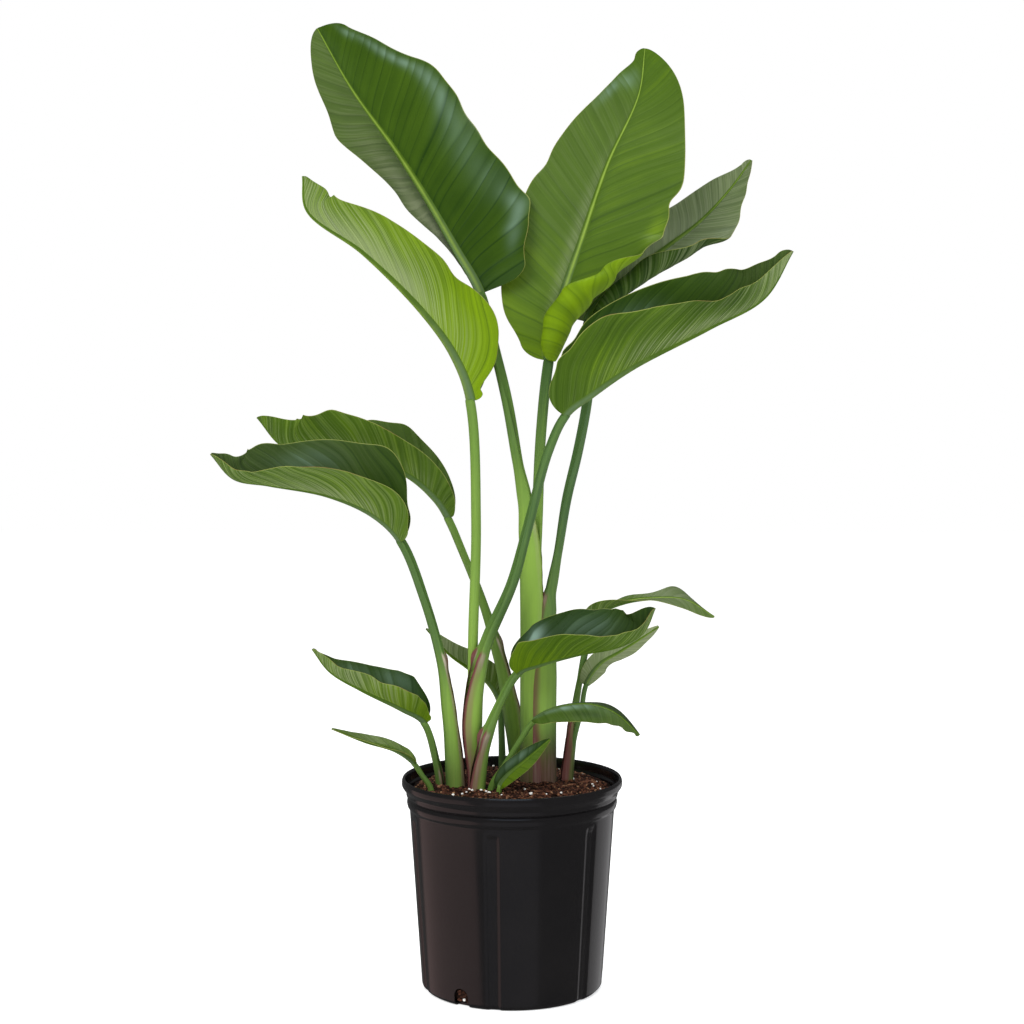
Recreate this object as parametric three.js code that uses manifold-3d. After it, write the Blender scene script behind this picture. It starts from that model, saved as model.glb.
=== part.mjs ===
// A potted bird of paradise: a black nursery pot, its soil and fifteen leaves.
// Millimetres, +Z up, origin at the middle of the pot's underside, front towards -Y.
import * as THREE from "three";
import Module from "manifold-3d";

const { Manifold, Mesh: SolidMesh } = await startManifold();

async function startManifold() {
  const loaded = await Module();
  loaded.setup();
  return loaded;
}

// Gap kept between pieces that touch
const GAP = 0.3;

// Pot, after a standard ten inch nursery pot
const POT_HEIGHT = 250;
const RIM_RADIUS = 130;
const BASE_RADIUS = 106.5;
const WALL_TOP_RADIUS = 120.8;
const WALL_TOP = 213;
const WALL = 2.2;
const FLOOR = 3;
const HEEL = 2;
const CHANNELS = 6;
const CHANNEL_DEPTH = 2;
const CHANNEL_FLAT = 2.6;
const CHANNEL_EDGE = 4.2;
const FIRST_CHANNEL = -11;
const NOTCH_WIDTH = 19;
const NOTCH_HEIGHT = 22;
const NOTCH_ANGLES = [-33, 87, 207];

// Soil
const SOIL_LEVEL = 236;
const SOIL_HEAP = 5;
const ROOT_DEPTH = 180;

// Leaf blades
const BLADE = 1.0;
const EDGE_ROOM = 1.5;
const RIB_TIP = 0.9;

const COLOURS = {
  pot: [0x1b1b1d, 0.45],
  soil: [0x3a2318, 0.95],
  blade: [0x3c6a1c, 0.4],
  stalk: [0x6f9a4a, 0.5],
};

// Each leaf: its stalk as points with a radius, the line of its midrib, the way its upper face
// looks from base to tip, and for the left and right half of the blade the width, where it is
// widest, how blunt its two ends are, the fold and curl in degrees from base to tip and how late
// on the way out the curl sets in. An edge entry makes one half wider or narrower near a place on
// it: half, place, reach, millimetres.
const LEAVES = [
  {
    name: "upper_right",
    stalk: [
      [27, 32, 180, 6.5], [27, 32, 300, 6.5], [27, 32, 460, 6.5], [30, 31, 551, 6.5],
      [34, 26, 650, 6.2],
    ],
    rib: [
      [43, 6, 740], [57, 20, 805], [82, 50, 880], [115, 90, 975], [155, 130, 1065],
      [163, 145, 1122],
    ],
    face: [[-0.1, -1, 0.35], [0, -1, 0.45]],
    half: [78, 101],
    peak: [0.36, 0.45],
    blunt: [[0.72, 0.62], [0.38, 0.6]],
    edge: [
      [0, 0.05, 0.035, -6], [0, 0.56, 0.04, -4], [0, 0.96, 0.03, -6], [1, 0.08, 0.09, 14],
      [1, 0.17, 0.06, 16], [1, 0.34, 0.05, -7], [1, 0.43, 0.05, -9], [1, 0.52, 0.05, -13],
      [1, 0.8, 0.1, -3.5],
    ],
    fold: [[3, 10], [2, 8], [3, 5]],
    curl: [
      [5, 300], [5, 300], [5, 285], [5, 248], [5, 75], [2, 15], [0, 14], [0, 7], [0, 0], [-3, -3],
      [-5, -5], [-8, -8], [-10, -10],
    ],
    late: [
      [1, 0.9], [1, 1.1], [1, 1.6], [1, 3], [1, 4], [1, 1.35], [1, 1.35], [1, 1.35], [1, 1.35],
      [1, 1.35], [1, 1.35], [1, 1.35], [1, 1.35],
    ],
    wave: [0.05, 2.5, 1],
    rows: 24,
    columns: 10,
    wraps: [],
  },
  {
    name: "upper_left",
    stalk: [
      [23, 30, 180, 13], [23, 30, 300, 13.5], [23, 30, 460, 13.5], [21, 29, 530, 13],
      [16, 27, 575, 9.5], [7, 24, 620, 6.6], [-6, 18, 693, 6.4], [-20, 14, 752, 6],
    ],
    rib: [
      [-37, 10, 817], [-66, 35, 870], [-101, 68, 931], [-139, 102, 991], [-197, 140, 1073],
      [-240, 160, 1149],
    ],
    face: [[0, -1, 0.2], [-0.1, -1, 0.3]],
    half: [88, 98],
    peak: [0.3, 0.36],
    blunt: [[1.6, 0.5], [0.38, 0.34]],
    edge: [
      [0, 0.64, 0.06, -8], [0, 0.75, 0.04, 4], [1, 0.06, 0.04, -9], [1, 0.2, 0.04, 8],
      [1, 0.4, 0.07, -7], [1, 0.6, 0.05, 7], [1, 0.71, 0.1, 16], [1, 0.96, 0.04, -5],
    ],
    fold: [[-90, -2], [-88, -2], [-80, -2], [-46, -2], [-25, -2]],
    curl: [[-45, 5], [0, 0], [0, -15], [-20, -25]],
    late: [[1, 1], [1, 1]],
    wave: [0.05, 2.5, 0],
    rows: 16,
    columns: 5,
    wraps: ["upper_right"],
  },
  {
    name: "right_back",
    stalk: [
      [35, 33, 180, 18.5], [35, 33, 355, 18.5], [37, 35, 400, 16.5], [40, 36, 440, 13],
      [46, 38, 468, 7.5], [55, 41, 514, 5.6], [65, 44, 574, 5.9], [79, 48, 633, 5.9],
      [90, 53, 693, 5.9], [94, 56, 740, 5.8],
    ],
    rib: [
      [91, 59, 786], [110, 66, 813], [144, 80, 842], [185, 100, 874], [230, 122, 909],
      [268, 140, 950], [295, 150, 987],
    ],
    face: [[-0.2, -1, 0.35], [-0.2, -1, 0.5]],
    half: [51, 60],
    peak: [0.42, 0.45],
    blunt: [[0.5, 0.72], [0.6, 1]],
    edge: [
      [0, 0.93, 0.06, -5], [1, 0.9, 0.04, -3], [1, 0.8, 0.06, -7], [1, 0.71, 0.04, -3],
      [1, 0.61, 0.04, 9],
    ],
    fold: [[-10, 5], [-15, -5], [0, 0]],
    curl: [[-10, 200], [-10, 205], [-5, 120], [0, 20], [0, 10]],
    late: [[1.3, 1.3], [1.3, 1.3]],
    wave: [0.03, 2, 0],
    rows: 14,
    columns: 6,
    wraps: ["upper_right", "upper_left"],
  },
  {
    name: "left_middle",
    stalk: [
      [-46, 10, 180, 6.2], [-46, 8, 300, 6.2], [-46, 4, 405, 6], [-42, -4, 553, 5.8],
    ],
    rib: [
      [-49, -5, 693], [-68, -15, 745], [-102, -35, 793], [-168, -65, 859], [-229, -86, 905],
      [-233, -90, 943],
    ],
    face: [[0.7, 0.45, 0.5], [0.6, 0.4, 0.7]],
    half: [56, 66],
    peak: [0.35, 0.3],
    blunt: [[1, 0.6], [0.6, 0.6]],
    edge: [
      [0, 0.04, 0.04, -12], [0, 0.22, 0.08, 8], [0, 0.38, 0.05, -6], [0, 0.9, 0.06, 9],
      [0, 0.96, 0.03, 8], [1, 0.06, 0.05, 24],
    ],
    fold: [[50, 42], [60, 62], [65, 65]],
    curl: [[10, 20], [0, 0], [10, 10]],
    late: [[1, 1], [1, 1]],
    wave: [0.06, 3, 1.5],
    rows: 16,
    columns: 4,
    wraps: [],
  },
  {
    name: "right_lower",
    stalk: [
      [-44, 6, 180, 8.8], [-44, 6, 245, 9], [-47, 3, 310, 12], [-42, -3, 365, 10.5],
      [-30, -10, 410, 7.5], [0, -18, 480, 6.6], [18, -20, 545, 6], [42, -30, 635, 5.6],
    ],
    rib: [
      [62, -35, 677], [91, -50, 700], [136, -75, 731], [219, -115, 774], [276, -138, 806],
      [305, -150, 856],
    ],
    face: [[-0.4, -0.2, 0.9], [-0.5, -0.2, 0.85]],
    half: [72, 70],
    peak: [0.36, 0.3],
    blunt: [[0.75, 0.6], [0.9, 0.85]],
    edge: [
      [0, 0.18, 0.04, -5], [0, 0.7, 0.03, -3], [0, 0.95, 0.03, -4], [1, 0.08, 0.05, -6],
      [1, 0.19, 0.06, -8], [1, 0.36, 0.06, 5], [1, 0.69, 0.05, -12], [1, 0.75, 0.03, -3],
    ],
    fold: [[80, 75], [70, 62], [70, 65]],
    curl: [[10, 10], [-10, -5], [0, 0]],
    late: [[1, 1], [1, 1]],
    wave: [0.03, 2.5, 0],
    rows: 16,
    columns: 4,
    wraps: ["left_middle"],
  },
  {
    name: "left_front",
    stalk: [
      [-66, 2, 180, 11.5], [-67, 2, 245, 11.5], [-74, 0, 322, 8.5], [-83, -5, 389, 6.2],
      [-102, -12, 460, 5.6],
    ],
    rib: [
      [-130, -20, 531], [-160, -30, 561], [-211, -50, 585], [-275, -75, 598], [-313, -90, 606],
      [-337, -100, 634],
    ],
    face: [[0.35, -0.45, 0.8], [0.35, -0.45, 0.8]],
    half: [57, 62],
    peak: [0.4, 0.3],
    blunt: [[0.8, 0.75], [1.8, 0.8]],
    edge: [
      [0, 0.05, 0.03, -3], [0, 0.55, 0.08, 6], [0, 0.68, 0.05, 5], [0, 0.8, 0.03, -3],
      [0, 0.9, 0.04, -5], [1, 0.1, 0.04, -7], [1, 0.25, 0.07, 9], [1, 0.74, 0.07, 7],
      [1, 0.86, 0.05, 13], [1, 0.95, 0.03, 4],
    ],
    fold: [[75, 88], [62, 55], [60, 45]],
    curl: [[10, -10], [0, -10], [0, 0]],
    late: [[1, 1], [1, 1]],
    wave: [0.04, 2.5, 0],
    rows: 14,
    columns: 4,
    wraps: [],
  },
  {
    name: "left_back",
    stalk: [
      [11, 75, 180, 12], [10, 75, 242, 12], [1, 73, 304, 11], [-14, 69, 378, 8],
      [-36, 63, 452, 5.6], [-60, 58, 513, 5.2],
    ],
    rib: [
      [-77, 55, 552], [-92, 50, 575], [-127, 40, 605], [-197, 20, 629], [-266, 5, 638],
      [-297, -5, 673],
    ],
    face: [[0.45, 0.1, 0.9], [0.4, 0.1, 0.9]],
    half: [48, 48],
    peak: [0.52, 0.45],
    blunt: [[0.6, 0.6], [0.7, 0.7]],
    edge: [
      [0, 0.64, 0.04, 5], [0, 0.84, 0.09, 11], [1, 0.34, 0.05, 6], [1, 0.53, 0.04, -6],
      [1, 0.84, 0.09, 11],
    ],
    fold: [[35, 75], [45, 74], [70, 64], [60, 60]],
    curl: [[0, 0], [0, 0], [0, 0]],
    late: [[1, 1], [1, 1]],
    wave: [0.03, 2.5, 0],
    rows: 14,
    columns: 4,
    wraps: [],
  },
  {
    name: "right_middle",
    stalk: [
      [-40, -14, 180, 9.3], [-40, -14, 247, 9.3], [-31, -16, 295, 7.5], [-14, -18, 340, 5],
    ],
    rib: [
      [8, -25, 377], [32, -35, 388], [78, -55, 403], [122, -73, 414], [149, -82, 431],
      [162, -85, 459],
    ],
    face: [[-0.3, -0.45, 0.85], [-0.3, -0.45, 0.85]],
    half: [52, 44],
    peak: [0.42, 0.42],
    blunt: [[0.5, 0.6], [0.5, 0.6]],
    edge: [
      [0, 0.5, 0.06, -3], [0, 0.7, 0.04, 2], [0, 0.84, 0.05, 2], [1, 0.14, 0.06, 7],
      [1, 0.5, 0.06, -5], [1, 0.62, 0.07, -11], [1, 0.72, 0.06, -12], [1, 0.82, 0.06, -8],
    ],
    fold: [[45, 75], [40, 68], [40, 60]],
    curl: [[-10, 10], [-20, 0], [0, 0]],
    late: [[1, 1], [1, 1]],
    wave: [0.03, 2.5, 0],
    rows: 12,
    columns: 4,
    wraps: [],
  },
  {
    name: "right_small",
    stalk: [
      [68, 33, 180, 3], [69, 33, 240, 3], [74, 33, 285, 3], [83, 36, 322, 3],
    ],
    rib: [
      [89, 38, 353], [106, 42, 377], [130, 48, 391], [160, 55, 409], [177, 58, 420],
    ],
    face: [[0.3, 0.7, 0.7], [0.3, 0.7, 0.7]],
    half: [24, 12],
    peak: [0.5, 0.35],
    blunt: [[1, 0.8], [0.6, 0.8]],
    edge: [],
    fold: [[20, 20], [20, 20], [20, 20]],
    curl: [[0, 0], [0, 0], [0, 0]],
    late: [[1, 1], [1, 1]],
    wave: [0.06, 2.5, 0],
    rows: 10,
    columns: 3,
    wraps: [],
  },
  {
    name: "right_arching",
    stalk: [
      [65, 32, 180, 7.5], [66, 33, 238, 7.5], [70, 36, 280, 6.8], [74, 43, 312, 4.8],
      [81, 51, 355, 4.2],
    ],
    rib: [
      [90, 57, 398], [97, 60, 421], [111, 65, 438], [137, 70, 448], [174, 76, 452], [211, 84, 449],
      [247, 90, 428],
    ],
    face: [[-0.5, 0.4, 0.8], [0.2, -0.3, 1], [0.4, -0.5, 0.8]],
    half: [24, 21],
    peak: [0.8, 0.5],
    blunt: [[2.2, 0.6], [0.7, 0.7]],
    edge: [[0, 0.42, 0.1, 5], [0, 0.8, 0.1, 9], [0, 0.92, 0.05, 4], [1, 0.2, 0.06, 5]],
    fold: [[60, 60], [20, 20], [-30, -30]],
    curl: [[0, 0], [0, 0], [0, 0]],
    late: [[1, 1], [1, 1]],
    wave: [0.04, 2, 0],
    rows: 12,
    columns: 3,
    wraps: ["right_small"],
  },
  {
    name: "front_low",
    stalk: [
      [-24, -15, 180, 4.6], [-24, -15, 238, 4.6], [-8, -17, 266, 4.2], [9, -23, 296, 3.8],
    ],
    rib: [
      [26, -30, 321], [56, -40, 337], [90, -50, 342], [118, -58, 334], [146, -65, 310],
    ],
    face: [[0, -0.2, 1], [0, -0.3, 1]],
    half: [28, 21],
    peak: [0.45, 0.45],
    blunt: [[0.5, 0.6], [0.5, 0.6]],
    edge: [[1, 0.1, 0.05, 2], [1, 0.72, 0.06, -3], [1, 0.84, 0.06, -5], [1, 0.95, 0.04, -4]],
    fold: [[-10, -20], [-16, -35], [-22, -40]],
    curl: [[-8, -20], [-8, -20], [-8, -20]],
    late: [[1, 1], [1, 1]],
    wave: [0.03, 2, 0],
    rows: 10,
    columns: 3,
    wraps: [],
  },
  {
    name: "front_smallest",
    stalk: [
      [-16, -29, 180, 3], [-16, -30, 222, 3],
    ],
    rib: [
      [-14, -31, 244], [-6, -34, 256], [15, -40, 275], [44, -47, 302],
    ],
    face: [[-0.3, -0.8, 0.5], [-0.3, -0.8, 0.5]],
    half: [12, 10],
    peak: [0.42, 0.42],
    blunt: [[0.6, 0.8], [0.6, 0.8]],
    edge: [],
    fold: [[10, 10], [0, 0], [0, 0]],
    curl: [[0, 0], [0, 0], [0, 0]],
    late: [[1, 1], [1, 1]],
    wave: [0.04, 2, 0],
    rows: 9,
    columns: 3,
    wraps: [],
  },
  {
    name: "left_low",
    stalk: [
      [-85, 13, 180, 5.6], [-85, 12, 236, 5.6], [-90, 8, 267, 4.6],
    ],
    rib: [
      [-104, 0, 314], [-129, -10, 331], [-175, -25, 356], [-211, -35, 379], [-231, -40, 406],
    ],
    face: [[0.4, 0, 0.9], [0.4, 0, 0.9]],
    half: [32, 37],
    peak: [0.4, 0.32],
    blunt: [[0.7, 0.75], [0.8, 0.75]],
    edge: [
      [0, 0.05, 0.04, -4], [0, 0.2, 0.04, 2], [0, 0.46, 0.08, -8], [0, 0.78, 0.08, -5],
      [1, 0.18, 0.08, 6], [1, 0.3, 0.05, 2], [1, 0.95, 0.04, -2],
    ],
    fold: [[52, 60], [46, 50], [46, 50]],
    curl: [[0, 0], [0, 0], [0, 0]],
    late: [[1, 1], [1, 1]],
    wave: [0.03, 2.5, 0],
    rows: 11,
    columns: 3,
    wraps: [],
  },
  {
    name: "left_lowest",
    stalk: [
      [-95, -14, 180, 3.8], [-95, -14, 237, 3.8], [-105, -15, 253, 3.4],
    ],
    rib: [
      [-115, -16, 268], [-136, -22, 284], [-171, -30, 296], [-209, -40, 313],
    ],
    face: [[0.35, -0.05, 0.93], [0.35, -0.05, 0.93]],
    half: [16, 16],
    peak: [0.4, 0.4],
    blunt: [[0.6, 0.8], [0.6, 0.8]],
    edge: [[1, 0.1, 0.05, 2], [1, 0.65, 0.1, 2.5]],
    fold: [[18, 18], [12, 12], [10, 10]],
    curl: [[0, 0], [0, 0], [0, 0]],
    late: [[1, 1], [1, 1]],
    wave: [0.05, 2, 0],
    rows: 9,
    columns: 3,
    wraps: [],
  },
  {
    name: "back_low",
    stalk: [
      [-12, 104, 180, 4.6], [-12, 104, 241, 4.6], [-13, 100, 288, 4],
    ],
    rib: [
      [-15, 96, 320], [-29, 93, 346], [-57, 86, 368], [-77, 78, 384], [-104, 68, 416],
    ],
    face: [[0.5, 0.2, 0.8], [0.5, 0.2, 0.8]],
    half: [20, 18],
    peak: [0.38, 0.38],
    blunt: [[0.5, 0.8], [0.5, 0.8]],
    edge: [],
    fold: [[70, 70], [70, 70], [60, 60]],
    curl: [[0, 0], [0, 0], [0, 0]],
    late: [[1, 1], [1, 1]],
    wave: [0.02, 2, 0],
    rows: 10,
    columns: 3,
    wraps: [],
  },
];

const radians = THREE.MathUtils.degToRad;

// A list of numbers or lists, spaced evenly from 0 to 1, eased from one to the next
function along(values, t) {
  const place = THREE.MathUtils.clamp(t, 0, 1) * (values.length - 1);
  const before = Math.min(Math.floor(place), values.length - 2);
  const share = THREE.MathUtils.smoothstep(place - before, 0, 1);
  return values[before].map((value, i) => value + (values[before + 1][i] - value) * share);
}

// A geometry from grids of points that share their rims: side by side cells, each two triangles
function surface(points, cells) {
  const positions = points.flatMap((p) => [p.x, p.y, p.z]);
  const geometry = new THREE.BufferGeometry();
  geometry.setAttribute("position", new THREE.Float32BufferAttribute(positions, 3));
  geometry.setIndex(cells.flatMap(([a, b, c, d]) => (d === undefined ? [a, b, c] : [a, b, c, a, c, d])));
  geometry.computeVertexNormals();
  return geometry;
}

// A closed tube through rings of points, with both ends capped
function tube(rings) {
  const sides = rings[0].length;
  const cells = [];
  for (let i = 0; i + 1 < rings.length; i++) {
    for (let j = 0; j < sides; j++) {
      const next = (j + 1) % sides;
      cells.push([i * sides + j, i * sides + next, (i + 1) * sides + next, (i + 1) * sides + j]);
    }
  }
  const last = (rings.length - 1) * sides;
  for (let j = 1; j + 1 < sides; j++) {
    cells.push([0, j + 1, j]);
    cells.push([last, last + j, last + j + 1]);
  }
  return surface(rings.flat(), cells);
}

// A closed sheet between two grids, both with the same rows and columns
function sheet(upper, under) {
  const rows = upper.length;
  const columns = upper[0].length;
  const below = rows * columns;
  const at = (i, j) => i * columns + j;
  const cells = [];
  for (let i = 0; i + 1 < rows; i++) {
    for (let j = 0; j + 1 < columns; j++) {
      cells.push([at(i, j), at(i, j + 1), at(i + 1, j + 1), at(i + 1, j)]);
      cells.push([at(i, j), at(i + 1, j), at(i + 1, j + 1), at(i, j + 1)].map((k) => k + below));
    }
    const right = columns - 1;
    cells.push([at(i, 0), at(i + 1, 0), at(i + 1, 0) + below, at(i, 0) + below]);
    cells.push([at(i, right), at(i, right) + below, at(i + 1, right) + below, at(i + 1, right)]);
  }
  const tip = rows - 1;
  for (let j = 0; j + 1 < columns; j++) {
    cells.push([at(0, j), at(0, j) + below, at(0, j + 1) + below, at(0, j + 1)]);
    cells.push([at(tip, j), at(tip, j + 1), at(tip, j + 1) + below, at(tip, j) + below]);
  }
  return surface([...upper.flat(), ...under.flat()], cells);
}

function solidOf(geometry) {
  return new Manifold(
    new SolidMesh({
      numProp: 3,
      vertProperties: new Float32Array(geometry.getAttribute("position").array),
      triVerts: new Uint32Array(geometry.getIndex().array),
    }),
  );
}

function geometryOf(solid) {
  const mesh = solid.getMesh();
  const geometry = new THREE.BufferGeometry();
  geometry.setAttribute("position", new THREE.BufferAttribute(mesh.vertProperties, 3));
  geometry.setIndex(new THREE.BufferAttribute(mesh.triVerts, 1));
  geometry.computeVertexNormals();
  return geometry;
}

// One curve runs up the stalk and on along the midrib, and the leaf's frame turns with it
class LeafLine {
  constructor(leaf) {
    this.leaf = leaf;
    const points = [...leaf.stalk, ...leaf.rib].map(([x, y, z]) => new THREE.Vector3(x, y, z));
    this.curve = new THREE.CatmullRomCurve3(points);
    const spans = points.length - 1;
    this.curve.arcLengthDivisions = spans * 40;
    const lengths = this.curve.getLengths();
    this.length = lengths.at(-1);
    this.marks = points.map((_, i) => lengths[i * 40]);
    this.joint = this.marks[leaf.stalk.length];
  }

  // The frame at a distance from the root: centre, way along, face and side
  frame(distance) {
    const u = THREE.MathUtils.clamp(distance / this.length, 0, 1);
    const centre = this.curve.getPointAt(u);
    const ahead = this.curve.getTangentAt(u);
    const t = (distance - this.joint) / (this.length - this.joint);
    const face = new THREE.Vector3(...along(this.leaf.face, t));
    face.addScaledVector(ahead, -face.dot(ahead)).normalize();
    const side = new THREE.Vector3().crossVectors(ahead, face);
    return { centre, ahead, face, side, t };
  }

  // The stalk's radius at a distance from the root
  radius(distance) {
    const radii = [...this.leaf.stalk.map((p) => p[3]), this.leaf.stalk.at(-1)[3]];
    let i = 0;
    while (i + 2 < radii.length && distance > this.marks[i + 1]) i++;
    const share = THREE.MathUtils.smoothstep(distance, this.marks[i], this.marks[i + 1]);
    return THREE.MathUtils.lerp(radii[i], radii[i + 1], share);
  }
}

// The stalk as a round tube, made larger by grow where it cuts its neighbours
function stalkOf(line, grow = 0) {
  const thick = line.leaf.stalk[0][3] > 6;
  const sides = thick ? 12 : 8;
  const steps = Math.round(line.joint / (thick ? 38 : 24));
  const rings = [];
  for (let i = 0; i <= steps; i++) {
    const distance = (line.joint * i) / steps;
    const { centre, face, side } = line.frame(distance);
    const radius = line.radius(distance) + grow;
    const ring = [];
    for (let j = 0; j < sides; j++) {
      const angle = (2 * Math.PI * j) / sides;
      const point = centre.clone();
      point.addScaledVector(side, radius * Math.cos(angle));
      point.addScaledVector(face, -radius * Math.sin(angle));
      ring.push(point);
    }
    rings.push(ring);
  }
  if (grow > 0) {
    const first = line.frame(0);
    rings[0].forEach((point) => point.addScaledVector(first.ahead, -grow));
  }
  return tube(rings);
}

// How wide a half blade is at t, as a share of its greatest width
function outline(t, peak, [base, tip]) {
  const power = Math.log(0.5) / Math.log(peak);
  const swell = Math.max(Math.sin(Math.PI * Math.pow(t, power)), 0);
  return Math.pow(swell, t < peak ? base : tip);
}

// The width of a half blade at t in millimetres, with the swells and dips of its margin
function halfWidth(leaf, half, t) {
  let width = leaf.half[half] * outline(t, leaf.peak[half], leaf.blunt[half]);
  const inside = THREE.MathUtils.smoothstep(Math.min(t, 1 - t), 0, 0.04);
  for (const [side, place, reach, size] of leaf.edge) {
    if (side === half) width += size * Math.exp(-(((t - place) / reach) ** 2)) * inside;
  }
  return width;
}

// One half of a blade's section, walked outwards from the rib in equal steps
function halfSection(leaf, half, t) {
  const fold = radians(along(leaf.fold, t)[half]);
  const curl = radians(along(leaf.curl, t)[half]);
  const late = along(leaf.late, t)[half];
  const width = Math.max(halfWidth(leaf, half, t), 0) + EDGE_ROOM;
  const [height, waves, start] = leaf.wave;
  const swing = Math.sin(2 * Math.PI * waves * t + start + 2 * half);
  const ripple = height * swing * Math.sqrt(Math.sin(Math.PI * THREE.MathUtils.clamp(t, 0, 1)));
  const points = [];
  let out = 0;
  let up = 0;
  for (let j = 1; j <= leaf.columns; j++) {
    const middle = fold + curl * Math.pow((j - 0.5) / leaf.columns, late);
    out += (Math.cos(middle) * width) / leaf.columns;
    up += (Math.sin(middle) * width) / leaf.columns;
    const q = j / leaf.columns;
    const tilt = fold + curl * Math.pow(q, late);
    const lift = ripple * q * q * width;
    points.push({ out: out - lift * Math.sin(tilt), up: up + lift * Math.cos(tilt), tilt });
  }
  return points;
}

// The blade: a thin sheet on each side of a midrib that tapers to the tip
function bladeOf(line) {
  const { leaf } = line;
  const petiole = leaf.stalk.at(-1)[3];
  const start = line.joint + GAP;
  const upper = [];
  const under = [];
  for (let i = 0; i <= leaf.rows; i++) {
    const t = (1 - Math.cos((Math.PI * i) / leaf.rows)) / 2;
    const { centre, face, side } = line.frame(start + (line.length - start) * t);
    const rib = (petiole * 0.95 - RIB_TIP) * Math.pow(1 - t, 1.1) + RIB_TIP;
    const depth = Math.max(1.8 * rib, BLADE);
    const place = (out, up) => centre.clone().addScaledVector(side, out).addScaledVector(face, up);
    const top = depth / 2;
    const topRow = [place(0, top)];
    const lowRow = [place(0, -top)];
    for (const half of [0, 1]) {
      const way = half === 0 ? -1 : 1;
      const first = radians(along(leaf.fold, t)[half]);
      const section = [{ out: 0, up: 0, tilt: first }, ...halfSection(leaf, half, t)];
      for (const { out, up, tilt } of section) {
        const above = place(way * (rib + out), top + up);
        const drop = place(
          way * (rib + out + BLADE * Math.sin(tilt)),
          top + up - BLADE * Math.cos(tilt),
        );
        if (half === 0) {
          topRow.unshift(above);
          lowRow.unshift(drop);
        } else {
          topRow.push(above);
          lowRow.push(drop);
        }
      }
    }
    upper.push(topRow);
    under.push(lowRow);
  }
  return sheet(upper, under);
}

// How far a pot channel stands in at an angle in degrees: 1 in a channel, 0 beside it
function channelAt(angle) {
  const pitch = 360 / CHANNELS;
  const off = Math.abs(((((angle - FIRST_CHANNEL) % pitch) + 1.5 * pitch) % pitch) - pitch / 2);
  return 1 - THREE.MathUtils.smoothstep(off, CHANNEL_FLAT, CHANNEL_EDGE);
}

// Angles round the pot, closer together at the channels
function potAngles() {
  const pitch = 360 / CHANNELS;
  const inOne = [-CHANNEL_EDGE, -CHANNEL_FLAT, CHANNEL_FLAT, CHANNEL_EDGE, 14, 24, 36, 46];
  const angles = [];
  for (let k = 0; k < CHANNELS; k++) {
    inOne.forEach((offset) => angles.push(FIRST_CHANNEL + k * pitch + offset));
  }
  return angles;
}

// Spins a profile of [radius, height] that starts and ends on the axis
function spun(profile, radiusAt) {
  const angles = potAngles();
  const inner = profile.slice(1, -1);
  const points = [new THREE.Vector3(0, 0, profile[0][1])];
  for (const [radius, height] of inner) {
    for (const angle of angles) {
      const r = radiusAt(radius, height, angle);
      points.push(new THREE.Vector3(r * Math.sin(radians(angle)), -r * Math.cos(radians(angle)), height));
    }
  }
  points.push(new THREE.Vector3(0, 0, profile.at(-1)[1]));
  const n = angles.length;
  const cells = [];
  for (let j = 0; j < n; j++) {
    const next = (j + 1) % n;
    cells.push([0, 1 + next, 1 + j]);
    for (let i = 0; i + 1 < inner.length; i++) {
      const row = 1 + i * n;
      cells.push([row + j, row + next, row + n + next, row + n + j]);
    }
    const last = 1 + (inner.length - 1) * n;
    cells.push([last + j, last + next, points.length - 1]);
  }
  return surface(points, cells);
}

// The channels fade out at the bands under the rim
function potRadius(radius, height, angle) {
  const share = radius > 20 && height < WALL_TOP - 4 ? channelAt(angle) : 0;
  return radius - CHANNEL_DEPTH * share;
}

function potGeometry() {
  const slope = (WALL_TOP_RADIUS - BASE_RADIUS) / WALL_TOP;
  const wallAt = (height) => BASE_RADIUS + slope * height;
  const profile = [
    [0, 0],
    [BASE_RADIUS - HEEL, 0],
    [wallAt(HEEL), HEEL],
    [wallAt(WALL_TOP - 12), WALL_TOP - 12],
    [wallAt(WALL_TOP - 3), WALL_TOP - 3],
    [WALL_TOP_RADIUS, WALL_TOP],
    [123.6, WALL_TOP + 2],
    [123.9, 224],
    [122.9, 226],
    [124.6, 228],
    [125.1, 235.5],
    [129, 237],
    [RIM_RADIUS, 239.5],
    [RIM_RADIUS, 247],
    [128.2, POT_HEIGHT],
    [126, 249],
    [125.3, 246.5],
    [122.9, 235],
    [121.5, WALL_TOP + 2],
    [WALL_TOP_RADIUS - WALL, WALL_TOP - 1],
    [wallAt(WALL_TOP - 12) - WALL, WALL_TOP - 12],
    [wallAt(FLOOR) - WALL, FLOOR],
    [0, FLOOR],
  ];
  let pot = solidOf(spun(profile, potRadius));
  for (const angle of NOTCH_ANGLES) {
    const arch = new THREE.Shape();
    const half = NOTCH_WIDTH / 2;
    arch.moveTo(-half, -1);
    arch.lineTo(-half, NOTCH_HEIGHT - half);
    arch.absarc(0, NOTCH_HEIGHT - half, half, Math.PI, 0, true);
    arch.lineTo(half, -1);
    const notch = new THREE.ExtrudeGeometry(arch, { depth: 12, bevelEnabled: false, curveSegments: 6 });
    notch.rotateX(Math.PI / 2);
    notch.translate(0, -BASE_RADIUS + 9, 0);
    notch.rotateZ(radians(angle));
    pot = pot.subtract(solidOf(welded(notch)));
  }
  return geometryOf(pot);
}

// Joins the doubled corners of an extrusion
function welded(geometry) {
  const from = geometry.getAttribute("position");
  const found = new Map();
  const points = [];
  const index = [];
  for (let i = 0; i < from.count; i++) {
    const point = new THREE.Vector3().fromBufferAttribute(from, i);
    const key = point.toArray().map((v) => v.toFixed(3)).join();
    if (!found.has(key)) {
      found.set(key, points.length);
      points.push(point);
    }
    index.push(found.get(key));
  }
  const cells = [];
  for (let i = 0; i < index.length; i += 3) cells.push(index.slice(i, i + 3));
  return surface(points, cells);
}

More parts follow.
